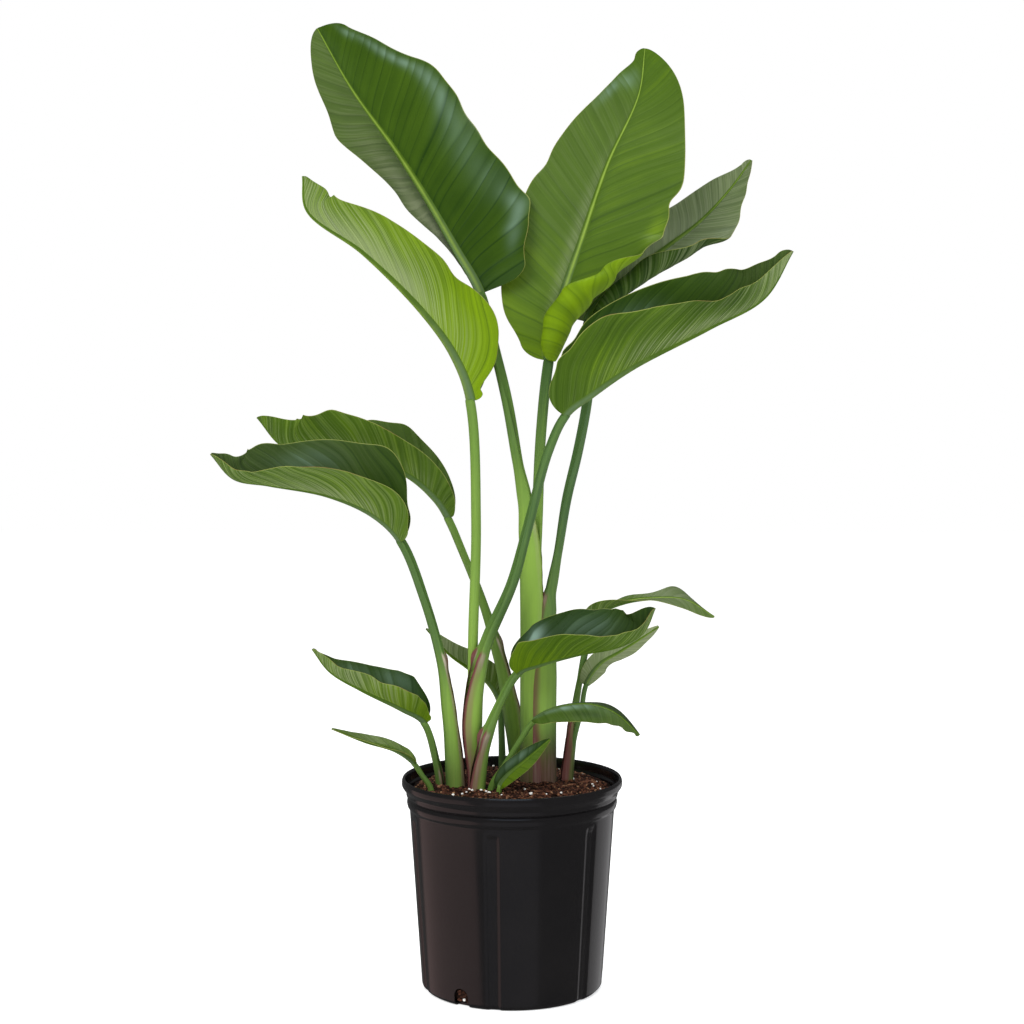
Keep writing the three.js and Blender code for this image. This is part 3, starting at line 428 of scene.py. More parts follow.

# Leaves, the values that stalks and blades share
# Each leaf is one growth from the soil to its tip: a stalk that clasps the next one with its base,
# and a blade folded along its midrib. They stand in a loose fan of fifteen, old ones lower down.
#
# Points are in millimetres and angles in degrees, and a pair holds the left and the right half. A
# stalk's points have its radius, and lists run from the stalk to the tip.
# half, peak, blunt: the half widths, where they are greatest and how round the outline is
# edge: bumps of the margin, each a side, a place, a reach and a height
# fold, curl, late: how a half leaves the rib, how it turns further out and how late it does
# wave, sweep, crease_shade: the margin's ripple, the side veins' slant, their painted crease shade
# upper and wax, under and bloom: tone and wax of the upper face, and of the underside
# marks: soft spots of these and of painted sheen, a painted reflection; each with a side, a place
# along and across, two reaches, an amount
# skin, powder, sheath: the stalk's tone and bloom, and its clasping foot
LEAVES = [
    dict(
        name="upper_right",
        stalk=[
            (27, 32, 180, 6.5), (27, 32, 300, 6.5), (27, 32, 460, 6.5), (30, 31, 551, 6.5),
            (34, 26, 650, 6.2),
        ],
        rib=[
            (43, 6, 740), (57, 20, 805), (82, 50, 880), (115, 90, 975), (155, 130, 1065),
            (163, 145, 1122),
        ],
        face=[(-0.1, -1, 0.35), (0, -1, 0.45)], half=(78, 101), peak=(0.36, 0.45),
        blunt=((0.72, 0.62), (0.38, 0.6)),
        edge=[
            (0, 0.05, 0.035, -6), (0, 0.56, 0.04, -4), (0, 0.96, 0.03, -6), (1, 0.08, 0.09, 14),
            (1, 0.17, 0.06, 16), (1, 0.34, 0.05, -7), (1, 0.43, 0.05, -9), (1, 0.52, 0.05, -13),
            (1, 0.8, 0.1, -3.5),
        ],
        fold=[(3, 10), (2, 8), (3, 5)],
        curl=[
            (5, 300), (5, 300), (5, 285), (5, 248), (5, 75), (2, 15), (0, 14), (0, 7), 0, -3, -5, -8,
            -10,
        ],
        late=[
            (1, 0.9), (1, 1.1), (1, 1.6), (1, 3), (1, 4), (1, 1.35), (1, 1.35), (1, 1.35), (1, 1.35),
            (1, 1.35), (1, 1.35), (1, 1.35), (1, 1.35),
        ],
        wave=(0.05, 2.5, 1), upper=[(0.66, 0.62), (0.55, 0.5), (0.46, 0.52), (0.44, 0.5), 0.46],
        wax=[0, (0.06, 0.02), (0.1, 0.05), (0.1, 0.06), 0], under=[0.84, 0.8, 0.75],
        bloom=[0, (0, 0.05), 0.1], crease_shade=[(0.2, 0.9), (0.2, 1), (0.15, 0.4), (0.1, 0.15), 0.1],
        marks=[
            ("wax", 0, 0.3, 0.05, 0.3, 0.1, 0.26), ("painted_sheen", 0, 0.9, 0.45, 0.03, 0.35, 0.35),
            ("painted_sheen", 0, 0.84, 0.85, 0.05, 0.15, 0.4), ("upper", 1, 0.42, 0.88, 0.06, 0.12, 0.22),
            ("upper", 1, 0.97, 0.6, 0.06, 0.6, 0.08), ("upper", 0, 0.2, 0.9, 0.12, 0.25, 0.12),
        ],
        rib_pale=0.85, gloss=0.3, skin=(0.6, 0.6, 0.6, 0.6, 0.25, 0.03), powder=0.1,
    ),
    dict(
        name="upper_left",
        stalk=[
            (23, 30, 180, 13), (23, 30, 300, 13.5), (23, 30, 460, 13.5), (21, 29, 530, 13),
            (16, 27, 575, 9.5), (7, 24, 620, 6.6), (-6, 18, 693, 6.4), (-20, 14, 752, 6),
        ],
        rib=[
            (-37, 10, 817), (-66, 35, 870), (-101, 68, 931), (-139, 102, 991), (-197, 140, 1073),
            (-240, 160, 1149),
        ],
        face=[(0, -1, 0.2), (-0.1, -1, 0.3)], half=(88, 98), peak=(0.3, 0.36),
        blunt=((1.6, 0.5), (0.38, 0.34)),
        edge=[
            (0, 0.64, 0.06, -8), (0, 0.75, 0.04, 4), (1, 0.06, 0.04, -9), (1, 0.2, 0.04, 8),
            (1, 0.4, 0.07, -7), (1, 0.6, 0.05, 7), (1, 0.71, 0.1, 16), (1, 0.96, 0.04, -5),
        ],
        fold=[(-90, -2), (-88, -2), (-80, -2), (-46, -2), (-25, -2)],
        curl=[(-45, 5), 0, (0, -15), (-20, -25)], wave=(0.05, 2.5, 0),
        upper=[(0.22, 0.18), 0.2, (0.26, 0.25), (0.34, 0.27), (0.4, 0.27)],
        wax=[(0.05, 0), (0.1, 0), (0.12, 0), (0.14, 0), (0.16, 0)], under=0.5,
        crease_shade=[(0.1, 0.25), (0.1, 0.35), (0.1, 0.3), 0.1],
        marks=[
            ("painted_sheen", 1, 0.95, 0.7, 0.03, 0.14, 0.3), ("painted_sheen", 1, 0.87, 0.8, 0.05, 0.1, 0.42),
            ("painted_sheen", 1, 0.79, 0.82, 0.05, 0.08, 0.42), ("painted_sheen", 1, 0.69, 0.84, 0.06, 0.09, 0.48),
            ("painted_sheen", 1, 0.58, 0.8, 0.07, 0.13, 0.32), ("painted_sheen", 1, 0.46, 0.74, 0.08, 0.2, 0.2),
            ("painted_sheen", 1, 0.33, 0.72, 0.08, 0.2, 0.14), ("painted_sheen", 1, 0.2, 0.84, 0.05, 0.11, 0.45),
            ("painted_sheen", 1, 0.12, 0.76, 0.04, 0.12, 0.32), ("upper", 1, 0.35, 0.2, 0.3, 0.2, -0.07),
            ("wax", 0, 0.36, 0.62, 0.24, 0.36, 0.52), ("upper", 0, 0.45, 0.1, 0.4, 0.2, -0.08),
        ],
        rib_pale=0.62, gloss=0.8, skin=(0.45, 0.62, 0.78, 0.22, 0.16), powder=0.1,
        sheath=dict(
            top=568, mouth=(1, -0.15), open=174, lip=0.5, strip=0.34, mauve=0.3, dry=0.55, darkening=0.8,
        ),
    ),
    dict(
        name="right_back",
        stalk=[
            (35, 33, 180, 18.5), (35, 33, 355, 18.5), (37, 35, 400, 16.5), (40, 36, 440, 13),
            (46, 38, 468, 7.5), (55, 41, 514, 5.6), (65, 44, 574, 5.9), (79, 48, 633, 5.9),
            (90, 53, 693, 5.9), (94, 56, 740, 5.8),
        ],
        rib=[
            (91, 59, 786), (110, 66, 813), (144, 80, 842), (185, 100, 874), (230, 122, 909),
            (268, 140, 950), (295, 150, 987),
        ],
        face=[(-0.2, -1, 0.35), (-0.2, -1, 0.5)], half=(51, 60), peak=(0.42, 0.45),
        blunt=((0.5, 0.72), (0.6, 1)),
        edge=[
            (0, 0.93, 0.06, -5), (1, 0.9, 0.04, -3), (1, 0.8, 0.06, -7), (1, 0.71, 0.04, -3),
            (1, 0.61, 0.04, 9),
        ],
        fold=[(-10, 5), (-15, -5), 0], curl=[(-10, 200), (-10, 205), (-5, 120), (0, 20), (0, 10)],
        late=1.3, wave=(0.03, 2, 0), upper=[0.3, (0.28, 0.3), (0.25, 0.22)],
        wax=[(0.5, 0.4), (0.52, 0.48), (0.48, 0.36)], under=[0.14, 0.18, 0.3],
        bloom=[(0, 0.05), (0.1, 0.25), 0.3], crease_shade=0.1, rib_pale=0.35, gloss=0.3,
        skin=(0.45, 0.6, 0.25, 0.03, 0.03, 0.05), powder=0.28,
        sheath=dict(
            top=467, mouth=(-1, -0.05), open=140, lip=3, strip=0.36, mauve=1.4, dry=0.22, darkening=1,
        ),
    ),
    dict(
        name="left_middle",
        stalk=[(-46, 10, 180, 6.2), (-46, 8, 300, 6.2), (-46, 4, 405, 6), (-42, -4, 553, 5.8)],
        rib=[
            (-49, -5, 693), (-68, -15, 745), (-102, -35, 793), (-168, -65, 859), (-229, -86, 905),
            (-233, -90, 943),
        ],
        face=[(0.7, 0.45, 0.5), (0.6, 0.4, 0.7)], half=(56, 66), peak=(0.35, 0.3),
        blunt=((1, 0.6), (0.6, 0.6)),
        edge=[
            (0, 0.04, 0.04, -12), (0, 0.22, 0.08, 8), (0, 0.38, 0.05, -6), (0, 0.9, 0.06, 9),
            (0, 0.96, 0.03, 8), (1, 0.06, 0.05, 24),
        ],
        fold=[(50, 42), (60, 62), 65], curl=[(10, 20), 0, 10], wave=(0.06, 3, 1.5), upper=0.4, wax=0.1,
        under=[0.88, 0.84, 0.74, 0.66, 0.6], bloom=[0, 0.14, 0.45, 0.6, 0.5],
        marks=[
            ("bloom", "both", 0.6, 1, 0.45, 0.45, -0.42), ("bloom", "both", 0.45, 0.05, 0.3, 0.3, 0.35),
        ],
        sweep=(0.35, 1.3, 2.1, 2.4), crease_shade=[0.2, 0.5, 0.6], rib_pale=0.65, gloss=0.3,
        skin=(0.9, 0.82, 0.56, 0.44), powder=0.06,
    ),
    dict(
        name="right_lower",
        stalk=[
            (-44, 6, 180, 8.8), (-44, 6, 245, 9), (-47, 3, 310, 12), (-42, -3, 365, 10.5),
            (-30, -10, 410, 7.5), (0, -18, 480, 6.6), (18, -20, 545, 6), (42, -30, 635, 5.6),
        ],
        rib=[
            (62, -35, 677), (91, -50, 700), (136, -75, 731), (219, -115, 774), (276, -138, 806),
            (305, -150, 856),
        ],
        face=[(-0.4, -0.2, 0.9), (-0.5, -0.2, 0.85)], half=(72, 70), peak=(0.36, 0.3),
        blunt=((0.75, 0.6), (0.9, 0.85)),
        edge=[
            (0, 0.18, 0.04, -5), (0, 0.7, 0.03, -3), (0, 0.95, 0.03, -4), (1, 0.08, 0.05, -6),
            (1, 0.19, 0.06, -8), (1, 0.36, 0.06, 5), (1, 0.69, 0.05, -12), (1, 0.75, 0.03, -3),
        ],
        fold=[(80, 75), (70, 62), (70, 65)], curl=[10, (-10, -5), 0], wave=(0.03, 2.5, 0),
        upper=[0.12, 0.12, 0.22], wax=[0, 0, 0.1], under=[0.4, 0.56, 0.5, 0.42, 0.55],
        bloom=[0.05, 0.02, 0.06, 0.18, 0.65],
        marks=[
            ("bloom", "both", 0.55, 0.1, 0.3, 0.22, 0.45),
            ("under", "both", 0.3, 0.75, 0.16, 0.25, -0.18),
            ("under", "both", 0.75, 0.7, 0.15, 0.35, -0.18),
            ("painted_sheen", "both", 0.35, 0.6, 0.12, 0.2, 0.25),
        ],
        sweep=(0.6, 1.3, 1.9, 2.2), crease_shade=[0.2, 0.35], rib_pale=0.3, gloss=0.85,
        skin=(0.42, 0.72, 0.12, 0.08, 0.1), powder=0.18,
        sheath=dict(
            top=405, mouth=(-1, -0.55), open=178, lip=4, strip=0.46, mauve=1.05, dry=0.42, darkening=0.3,
        ),
    ),
    dict(
        name="left_front",
        stalk=[
            (-66, 2, 180, 11.5), (-67, 2, 245, 11.5), (-74, 0, 322, 8.5), (-83, -5, 389, 6.2),
            (-102, -12, 460, 5.6),
        ],
        rib=[
            (-130, -20, 531), (-160, -30, 561), (-211, -50, 585), (-275, -75, 598), (-313, -90, 606),
            (-337, -100, 634),
        ],
        face=[(0.35, -0.45, 0.8), (0.35, -0.45, 0.8)], half=(57, 62), peak=(0.4, 0.3),
        blunt=((0.8, 0.75), (1.8, 0.8)),
        edge=[
            (0, 0.05, 0.03, -3), (0, 0.55, 0.08, 6), (0, 0.68, 0.05, 5), (0, 0.8, 0.03, -3),
            (0, 0.9, 0.04, -5), (1, 0.1, 0.04, -7), (1, 0.25, 0.07, 9), (1, 0.74, 0.07, 7),
            (1, 0.86, 0.05, 13), (1, 0.95, 0.03, 4),
        ],
        fold=[(75, 88), (62, 55), (60, 45)], curl=[(10, -10), (0, -10), 0], wave=(0.04, 2.5, 0),
        upper=[0.14, 0.2, 0.18], wax=[0, 0.1, 0.12], under=[0.52, 0.58, 0.56, 0.46],
        bloom=[0.15, 0.14, 0.26, 0.34], sweep=(0.3, 1, 1.6, 2), crease_shade=0.2,
        marks=[
            ("painted_sheen", 1, 0.55, 0.55, 0.12, 0.25, 0.3), ("painted_sheen", 0, 0.55, 0.55, 0.12, 0.25, 0.3),
            ("bloom", "both", 0.4, 0.05, 0.3, 0.3, 0.4),
        ],
        rib_pale=0.3, gloss=0.8, skin=(0.38, 0.5, 0.14, 0.1), powder=0.14,
        sheath=dict(
            top=402, mouth=(1, -0.15), open=174, lip=2.5, strip=0.24, mauve=0.72, dry=0.66, darkening=0.3,
        ),
    ),
    dict(
        name="left_back",
        stalk=[
            (11, 75, 180, 12), (10, 75, 242, 12), (1, 73, 304, 11), (-14, 69, 378, 8),
            (-36, 63, 452, 5.6), (-60, 58, 513, 5.2),
        ],
        rib=[
            (-77, 55, 552), (-92, 50, 575), (-127, 40, 605), (-197, 20, 629), (-266, 5, 638),
            (-297, -5, 673),
        ],
        face=[(0.45, 0.1, 0.9), (0.4, 0.1, 0.9)], half=(48, 48), peak=(0.52, 0.45),
        blunt=((0.6, 0.6), (0.7, 0.7)),
        edge=[
            (0, 0.64, 0.04, 5), (0, 0.84, 0.09, 11), (1, 0.34, 0.05, 6), (1, 0.53, 0.04, -6),
            (1, 0.84, 0.09, 11),
        ],
        fold=[(35, 75), (45, 74), (70, 64), 60], wave=(0.03, 2.5, 0), upper=[0.34, 0.36, 0.32],
        wax=[0.1, 0.06], under=0.5, bloom=[0.05, 0.12],
        marks=[("bloom", "both", 0.5, 0.1, 0.35, 0.3, 0.3)], rib_pale=0.4, gloss=0.5,
        skin=(0.32, 0.36, 0.4, 0.36), powder=0.03,
        sheath=dict(
            top=412, mouth=(1, -0.2), open=172, lip=2, strip=0.24, mauve=0.75, dry=0.62, darkening=0.25,
        ),
    ),
    dict(
        name="right_middle",
        stalk=[(-40, -14, 180, 9.3), (-40, -14, 247, 9.3), (-31, -16, 295, 7.5), (-14, -18, 340, 5)],
        rib=[
            (8, -25, 377), (32, -35, 388), (78, -55, 403), (122, -73, 414), (149, -82, 431),
            (162, -85, 459),
        ],
        face=[(-0.3, -0.45, 0.85), (-0.3, -0.45, 0.85)], half=(52, 44), peak=(0.42, 0.42),
        blunt=((0.5, 0.6), (0.5, 0.6)),
        edge=[
            (0, 0.5, 0.06, -3), (0, 0.7, 0.04, 2), (0, 0.84, 0.05, 2), (1, 0.14, 0.06, 7),
            (1, 0.5, 0.06, -5), (1, 0.62, 0.07, -11), (1, 0.72, 0.06, -12), (1, 0.82, 0.06, -8),
        ],
        fold=[(45, 75), (40, 68), (40, 60)], curl=[(-10, 10), (-20, 0), 0], wave=(0.03, 2.5, 0),
        upper=[0.02, 0.06], wax=[0.02, 0.04], under=[0.66, 0.48, 0.5], bloom=[0, 0.06, 0.35],
        marks=[("painted_sheen", 0, 0.15, 0.6, 0.06, 0.28, 1), ("painted_sheen", 0, 0.5, 0.5, 0.2, 0.3, 0.25)],
        sweep=(0.4, 1, 1.5, 1.8), rib_pale=0.45, gloss=1, skin=(0.6, 0.45, 0.22), powder=0.15,
        sheath=dict(
            top=312, mouth=(-1, -0.45), open=178, lip=4, strip=0.5, mauve=1.15, dry=0.45, darkening=0.25,
        ),
    ),
    dict(
        name="right_small",
        stalk=[(68, 33, 180, 3), (69, 33, 240, 3), (74, 33, 285, 3), (83, 36, 322, 3)],
        rib=[(89, 38, 353), (106, 42, 377), (130, 48, 391), (160, 55, 409), (177, 58, 420)],
        face=[(0.3, 0.7, 0.7), (0.3, 0.7, 0.7)], half=(24, 12), peak=(0.5, 0.35),
        blunt=((1, 0.8), (0.6, 0.8)), fold=20, wave=(0.06, 2.5, 0), upper=[0.34, 0.32],
        wax=[0.35, 0.45], under=0.48, bloom=[0.74, 0.84], crease_shade=0, rib_pale=0.5, gloss=0.3,
        skin=(0.2, 0.15), powder=0.2,
    ),
    dict(
        name="right_arching",
        stalk=[
            (65, 32, 180, 7.5), (66, 33, 238, 7.5), (70, 36, 280, 6.8), (74, 43, 312, 4.8),
            (81, 51, 355, 4.2),
        ],
        rib=[
            (90, 57, 398), (97, 60, 421), (111, 65, 438), (137, 70, 448), (174, 76, 452),
            (211, 84, 449), (247, 90, 428),
        ],
        face=[(-0.5, 0.4, 0.8), (0.2, -0.3, 1), (0.4, -0.5, 0.8)], half=(24, 21), peak=(0.8, 0.5),
        blunt=((2.2, 0.6), (0.7, 0.7)),
        edge=[(0, 0.42, 0.1, 5), (0, 0.8, 0.1, 9), (0, 0.92, 0.05, 4), (1, 0.2, 0.06, 5)],
        fold=[60, 20, -30], wave=(0.04, 2, 0), upper=[0.4, 0.52, 0.36, 0.52],
        wax=[0.6, 0.05, (0.5, 0.42), 0.2], crease_shade=0.1, under=[0.45, 0.62, 0.4], bloom=[0.6, 0.05, 0.5],
        gloss=0.4, skin=(0.5, 0.42, 0.25), powder=0.2,
        sheath=dict(
            top=316, mouth=(-1, -0.35), open=174, lip=1.5, strip=0.55, mauve=1.1, dry=0.12, darkening=0.6,
        ),
    ),
    dict(
        name="front_low",
        stalk=[(-24, -15, 180, 4.6), (-24, -15, 238, 4.6), (-8, -17, 266, 4.2), (9, -23, 296, 3.8)],
        rib=[(26, -30, 321), (56, -40, 337), (90, -50, 342), (118, -58, 334), (146, -65, 310)],
        face=[(0, -0.2, 1), (0, -0.3, 1)], half=(28, 21), peak=(0.45, 0.45),
        blunt=((0.5, 0.6), (0.5, 0.6)),
        edge=[(1, 0.1, 0.05, 2), (1, 0.72, 0.06, -3), (1, 0.84, 0.06, -5), (1, 0.95, 0.04, -4)],
        fold=[(-10, -20), (-16, -35), (-22, -40)], curl=[(-8, -20), (-8, -20)], wave=(0.03, 2, 0),
        upper=[(0.06, 0.32), (0.08, 0.24)], wax=[(0.02, 0.05), (0.05, 0.12)], under=0.42,
        bloom=[0.1, 0.2],
        marks=[
            ("painted_sheen", 1, 0.34, 0.12, 0.22, 0.16, 0.6), ("painted_sheen", 0, 0.3, 0.3, 0.2, 0.3, 0.3),
            ("upper", 1, 0.5, 0.55, 0.2, 0.2, -0.16),
        ],
        crease_shade=[0, 0.1], rib_pale=0.3, gloss=0.8, skin=(0.3, 0.3), powder=0.08,
    ),
    dict(
        name="front_smallest", stalk=[(-16, -29, 180, 3), (-16, -30, 222, 3)],
        rib=[(-14, -31, 244), (-6, -34, 256), (15, -40, 275), (44, -47, 302)],
        face=[(-0.3, -0.8, 0.5), (-0.3, -0.8, 0.5)], half=(12, 10), peak=(0.42, 0.42),
        blunt=((0.6, 0.8), (0.6, 0.8)), fold=[10, 0, 0], wave=(0.04, 2, 0),
        upper=[(0.06, 0.66), (0.04, 0.5)], wax=[(0.02, 0), (0.02, 0.06)], under=[0.6, 0.5], bloom=0.1,
        marks=[("painted_sheen", 0, 0.45, 0.55, 0.3, 0.35, 0.3)], crease_shade=0, rib_pale=0.2, gloss=0.8,
        skin=(0.5, 0.4), powder=0.08,
    ),
    dict(
        name="left_low", stalk=[(-85, 13, 180, 5.6), (-85, 12, 236, 5.6), (-90, 8, 267, 4.6)],
        rib=[(-104, 0, 314), (-129, -10, 331), (-175, -25, 356), (-211, -35, 379), (-231, -40, 406)],
        face=[(0.4, 0, 0.9), (0.4, 0, 0.9)], half=(32, 37), peak=(0.4, 0.32),
        blunt=((0.7, 0.75), (0.8, 0.75)),
        edge=[
            (0, 0.05, 0.04, -4), (0, 0.2, 0.04, 2), (0, 0.46, 0.08, -8), (0, 0.78, 0.08, -5),
            (1, 0.18, 0.08, 6), (1, 0.3, 0.05, 2), (1, 0.95, 0.04, -2),
        ],
        fold=[(52, 60), (46, 50), (46, 50)], wave=(0.03, 2.5, 0), upper=[0.1, 0.14, 0.12],
        wax=[0, 0.05], under=[0.7, 0.56], bloom=[0, 0.3, 0.5, 0.45],
        marks=[
            ("painted_sheen", "both", 0.3, 0.7, 0.16, 0.3, 0.26), ("painted_sheen", "both", 0.65, 0.6, 0.12, 0.3, 0.25),
        ],
        crease_shade=[0, 0.1], rib_pale=0.5, gloss=0.8, skin=(0.35, 0.35), powder=0.1,
        sheath=dict(
            top=262, mouth=(1, -0.35), open=170, lip=1, strip=0.35, mauve=0.6, dry=0.3, darkening=0.2,
        ),
    ),
    dict(
        name="left_lowest", stalk=[(-95, -14, 180, 3.8), (-95, -14, 237, 3.8), (-105, -15, 253, 3.4)],
        rib=[(-115, -16, 268), (-136, -22, 284), (-171, -30, 296), (-209, -40, 313)],
        face=[(0.35, -0.05, 0.93), (0.35, -0.05, 0.93)], half=(16, 16), peak=(0.4, 0.4),
        blunt=((0.6, 0.8), (0.6, 0.8)), edge=[(1, 0.1, 0.05, 2), (1, 0.65, 0.1, 2.5)],
        fold=[18, 12, 10], wave=(0.05, 2, 0), upper=[0.62, 0.52],
        wax=[(0.02, 0.2), (0.02, 0.35), (0.02, 0.15)], under=0.5, bloom=0.1, gloss=0.4, skin=(0.3, 0.3),
        powder=0.1,
    ),
    dict(
        name="back_low", stalk=[(-12, 104, 180, 4.6), (-12, 104, 241, 4.6), (-13, 100, 288, 4)],
        rib=[(-15, 96, 320), (-29, 93, 346), (-57, 86, 368), (-77, 78, 384), (-104, 68, 416)],
        face=[(0.5, 0.2, 0.8), (0.5, 0.2, 0.8)], half=(20, 18), peak=(0.38, 0.38),
        blunt=((0.5, 0.8), (0.5, 0.8)), fold=[70, 70, 60], wave=(0.02, 2, 0), upper=[0.2, 0.18],
        wax=0.3, under=0.42, bloom=[0.3, 0.7], crease_shade=0, gloss=0.4, skin=(0.12, 0.12), powder=0.25,
    ),
]
CURVE_STEPS = 60
FRAME_REACH = 1.5


def smooth(x):
    """Eased from 0 to 1, and held outside."""
    x = np.clip(x, 0, 1)
    return x * x * (3 - 2 * x)


def mix(first, second, share):
    return first + (second - first) * share


def along(values, t):
    """Values spaced evenly from 0 to 1, eased from one to the next, at each place in t."""
    values = np.asarray(values, float)
    place = np.clip(t, 0, 1) * (len(values) - 1)
    before = np.minimum(place.astype(int), len(values) - 2)
    share = smooth(place - before)
    if values.ndim > 1:
        share = share[:, None]
    return mix(values[before], values[before + 1], share)


def halves(values, t):
    """Values for the left and the right half at each place in t, where one number may serve both."""
    values = [values] * 2 if np.isscalar(values) else values
    return along([np.broadcast_to(pair, 2) for pair in values], t)


def unit(vectors):
    return vectors / np.linalg.norm(vectors, axis=-1, keepdims=True)


def dot(first, second):
    return (first * second).sum(-1, keepdims=True)


def smooth_curve(points):
    """A centripetal Catmull-Rom curve through the points, CURVE_STEPS samples to a span."""
    points = np.asarray(points, float)
    ends = [2 * points[0] - points[1]], [2 * points[-1] - points[-2]]
    held = np.concatenate([ends[0], points, ends[1]])
    share = np.linspace(0, 1, CURVE_STEPS, endpoint=False)[:, None]
    made = []
    for a, b, c, d in zip(held, held[1:], held[2:], held[3:]):
        gap_0, gap_1, gap_2 = (np.linalg.norm(q - p) ** 0.5 for p, q in ((a, b), (b, c), (c, d)))
        leave = ((b - a) / gap_0 - (c - a) / (gap_0 + gap_1) + (c - b) / gap_1) * gap_1
        arrive = ((c - b) / gap_1 - (d - b) / (gap_1 + gap_2) + (d - c) / gap_2) * gap_1
        square, cube = 3 * (c - b) - 2 * leave - arrive, 2 * (b - c) + leave + arrive
        made.append(b + leave * share + square * share**2 + cube * share**3)
    return np.concatenate([*made, points[-1:]])


class LeafLine:
    """One curve up the stalk and on along the midrib, with the leaf's frame at any distance."""

    def __init__(self, leaf):
        self.leaf = leaf
        self.points = smooth_curve([p[:3] for p in leaf["stalk"]] + leaf["rib"])
        steps = np.linalg.norm(np.diff(self.points, axis=0), axis=1)
        self.distance = np.concatenate([[0], np.cumsum(steps)])
        self.length = self.distance[-1]
        self.marks = self.distance[::CURVE_STEPS]
        self.joint = self.marks[len(leaf["stalk"])]

    def at(self, distance):
        return np.stack([np.interp(distance, self.distance, self.points[:, k]) for k in range(3)], -1)

    def frame(self, distance):
        """The centre, the way along, the face and the side at each distance."""
        further = self.at(np.minimum(distance + FRAME_REACH, self.length))
        ahead = unit(further - self.at(np.maximum(distance - FRAME_REACH, 0)))
        t = (distance - self.joint) / (self.length - self.joint)
        face = along(self.leaf["face"], t)
        face = unit(face - ahead * dot(face, ahead))
        return self.at(distance), ahead, face, np.cross(ahead, face)

    def radius(self, distance):
        """The stalk's radius at each distance."""
        radii = [p[3] for p in self.leaf["stalk"]] + [self.leaf["stalk"][-1][3]]
        span = np.clip(np.searchsorted(self.marks, distance, side="left") - 1, 0, len(radii) - 2)
        radii = np.array(radii)
        share = smooth((distance - self.marks[span]) / (self.marks[span + 1] - self.marks[span]))
        return mix(radii[span], radii[span + 1], share)


def grid_faces(rows, columns, start=0, closed=False, flip=False):
    """The cells of a grid of points, row by row."""
    wide = columns if closed else columns - 1
    faces = []
    for i in range(rows - 1):
        for j in range(wide):
            after = (j + 1) % columns
            row, above = start + i * columns, start + (i + 1) * columns
            cell = (row + j, row + after, above + after, above + j)
            faces.append(cell[::-1] if flip else cell)
    return faces


def paint_values(thing, values):
    """Stores named values, one for each point of a mesh."""
    for name, numbers in values.items():
        layer = thing.data.attributes.new(name, "FLOAT", "POINT")
        layer.data.foreach_set("value", np.ascontiguousarray(numbers, np.float32).ravel())


def stored(tree, name):
    """The value of that name, read in a material."""
    return node(tree, "ShaderNodeAttribute", attribute_name=name).outputs["Fac"]


def paint_flow(thing, across, length):
    """Stores a UV map that runs across and along the leaf, in metres."""
    layer = thing.data.uv_layers.new(name="flow")
    corner = np.empty(len(thing.data.loops), np.int64)
    thing.data.loops.foreach_get("vertex_index", corner)
    flat = np.stack([across.ravel()[corner], length.ravel()[corner]], -1) * MM
    layer.data.foreach_set("uv", np.ascontiguousarray(flat, np.float32).ravel())


def flow_map(tree):
    """That map, read in a material."""
    return node(tree, "ShaderNodeUVMap", uv_map="flow").outputs[0]


# Stalks
# A leaf stalk is a firm round petiole with a shallow groove, mid green under a bluish bloom. Below,
# it opens into a sheath that clasps the inner stalks, with thin, papery, mauve or brown margins.
PETIOLE_HALF = 138
PETIOLE_GROOVE = 0.16
SHEATH_WALL = 2.4
SHEATH_THIN = 0.35
SHEATH_OPENS = 95
STALK_STEP = 5.0
STALK_ARC = 44
STALK_INSIDE = 22
STALK_GREEN = (0.040, 0.095, 0.020, 1)
STALK_YELLOW = (0.235, 0.385, 0.055, 1)
STALK_BLOOM = (0.120, 0.180, 0.110, 1)
SHEATH_MAUVE = (0.150, 0.050, 0.046, 1)
SHEATH_DRY = (0.430, 0.360, 0.290, 1)
STALK_OVERLAP = 1.2
STALK_TIP = 0.93
LIP_BELOW = 0.14
LIP_REACH = 0.16
SOIL_TOP = 236
FOOT_TOP = 325
FOOT_REACH = 85


def value_noise(x, y, seed):
    """Smooth random values from 0 to 1 over a plane, one per unit square."""
    column, row = np.floor(x).astype(np.int64), np.floor(y).astype(np.int64)
    share_x, share_y = (share * share * (3 - 2 * share) for share in (x - column, y - row))

    def corner(i, j):
        mixed = np.sin((column + i) * 127.1 + (row + j) * 311.7 + seed * 74.7) * 43758.5453
        return mixed - np.floor(mixed)

    near, far = (corner(0, j) * (1 - share_x) + corner(1, j) * share_x for j in (0, 1))
    return near * (1 - share_y) + far * share_y


